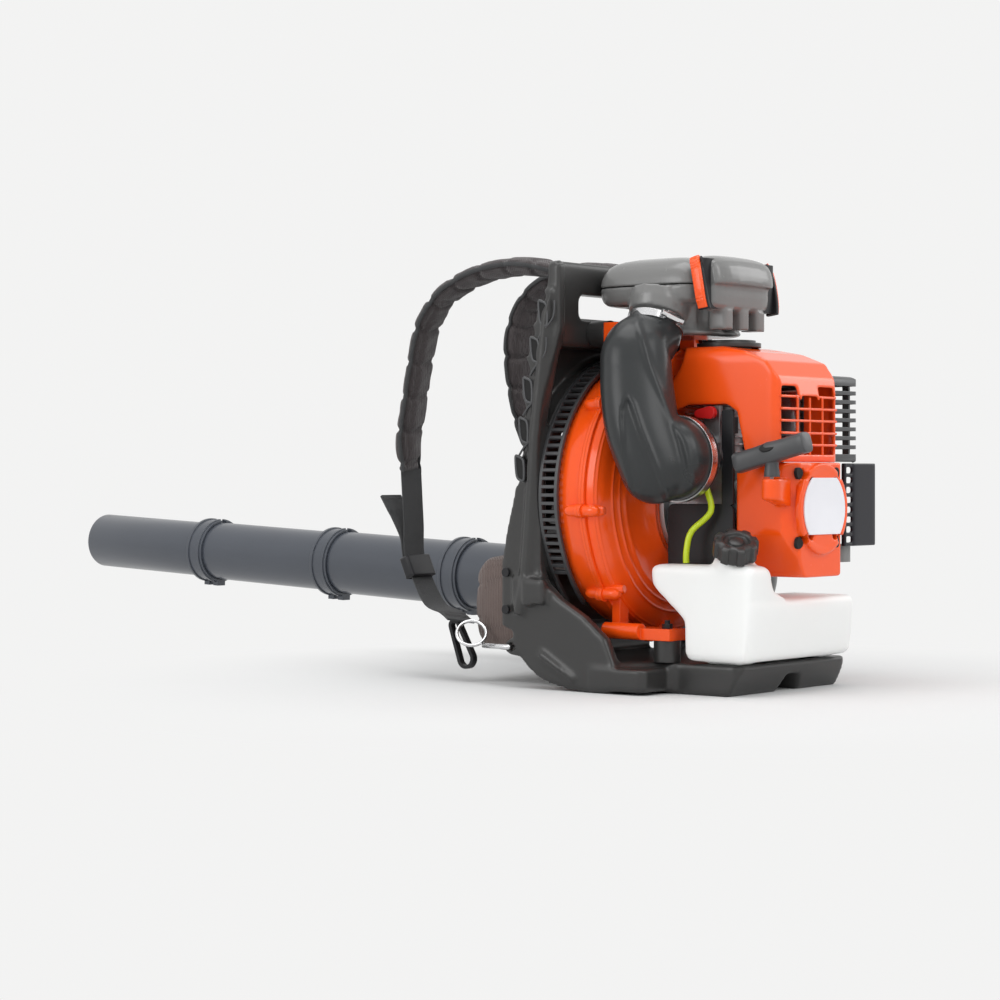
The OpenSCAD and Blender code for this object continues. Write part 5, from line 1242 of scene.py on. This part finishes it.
class BLOWER_OT_harness(bpy.types.Operator):
    """Makes the shoulder pads, the webbing with its stitches, and the back cushion."""
    bl_idname = "blower.harness"
    bl_label = "Harness"

    def execute(self, context):
        settings = context.scene.blower_soft
        for s, side in ((-1, "left"), (1, "right")):
            shoulder_pad(s, settings)
            main, tail = web_path(s), tail_path(s)
            grids = [strap(main), strap(tail, 0.8)]
            part("strap_" + side, grids, "webbing", "webbing_" + side, sharp=50,
                 uvs=[cloth_uv(g) for g in grids])
            far = lengths(main)[-1]
            stitches = seam_threads(main, [far - 12, far - 15.5, far - 26], 1.25)
            stitches += seam_threads(tail, [lengths(tail)[-1] - 6], 2.0)
            part("stitches_" + side, stitches, "pad_cloth", "webbing_" + side, "webbing")
        back_cushion()
        return {"FINISHED"}


def back_cushion():
    """The lower back cushion: a crowned block whose rear lies flat on the frame, with a
    sewn border and two channels across."""
    z = np.linspace(40, 144, 27)
    t = (z - 38) / 108
    mid = np.interp(t, [0, 0.3, 0.8, 1], [160, 162, 160, 155])
    half = np.interp(t, [0, 0.15, 0.5, 0.85, 1], [42, 48, 51, 49, 40]) - 2
    ring = oval(64, 0.24)
    wide = 107 * (1 - 0.04 * (2 * t - 1) ** 4)
    x = FRAME_MID + wide[:, None] * ring[None, :, 0]
    y = np.maximum(mid[:, None] + half[:, None] * power(ring[None, :, 1], 1.1), 127.5)
    grid = np.stack([x, y, np.broadcast_to(z[:, None], x.shape)], -1)
    pad = surface("back_pad", grid, "back_cloth")
    swell(pad, 0.005, 4.0, 0.004)
    co = points_of(pad) / MM
    front = smooth(150, 175, co[:, 1])
    for line in (72, 112):
        co[:, 1] -= 3.2 * np.exp(-((co[:, 2] - line) / 3.0) ** 2) * front
    border = np.exp(-((np.abs(co[:, 0] - FRAME_MID) - 96) / 2.2) ** 2)
    co[:, 1] -= 2.0 * border * front
    co[:, 1] = np.maximum(co[:, 1], 125.6)
    crease = 0.7 * np.sin(co[:, 0] / 6.5 + co[:, 2] / 11.0) * np.exp(
        -((co[:, 2] - 138) / 9.0) ** 2)
    co[:, 1] += crease * front
    set_points(pad, co * MM)
    finish_mesh(pad, "back_cloth", "blower", 60)
    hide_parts("lumbar_pad")


class BLOWER_PT_panel(bpy.types.Panel):
    """Lists the settings and the steps."""
    bl_label = "Blower"
    bl_idname = "BLOWER_PT_panel"
    bl_space_type = "VIEW_3D"
    bl_region_type = "UI"
    bl_category = "Blower"

    def draw(self, context):
        column = self.layout.column()
        for name in ("world", "key", "floor"):
            column.prop(context.scene.blower_stage, name)
        for name in ("pad_width", "pad_thick", "quilts"):
            column.prop(context.scene.blower_soft, name)
        for step in STEPS:
            column.operator(step.bl_idname)


STEPS = (BLOWER_OT_stage, BLOWER_OT_hard_parts, BLOWER_OT_intake, BLOWER_OT_filter,
         BLOWER_OT_back_frame, BLOWER_OT_fan_case, BLOWER_OT_engine_covers,
         BLOWER_OT_tank, BLOWER_OT_harness)
CLASSES = (BlowerStageSettings, BlowerSoftSettings) + STEPS + (BLOWER_PT_panel,)


def register():
    """Registers the classes and hangs the settings on the scene."""
    for cls in CLASSES:
        bpy.utils.register_class(cls)
    bpy.types.Scene.blower_stage = bpy.props.PointerProperty(type=BlowerStageSettings)
    bpy.types.Scene.blower_soft = bpy.props.PointerProperty(type=BlowerSoftSettings)


def unregister():
    """Takes the settings and the classes away again."""
    del bpy.types.Scene.blower_stage
    del bpy.types.Scene.blower_soft
    for cls in reversed(CLASSES):
        bpy.utils.unregister_class(cls)


def main():
    register()
    make_finishes()
    for step in STEPS:
        area, name = step.bl_idname.split(".")
        getattr(getattr(bpy.ops, area), name)()
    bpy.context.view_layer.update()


if __name__ == "__main__":
    main()
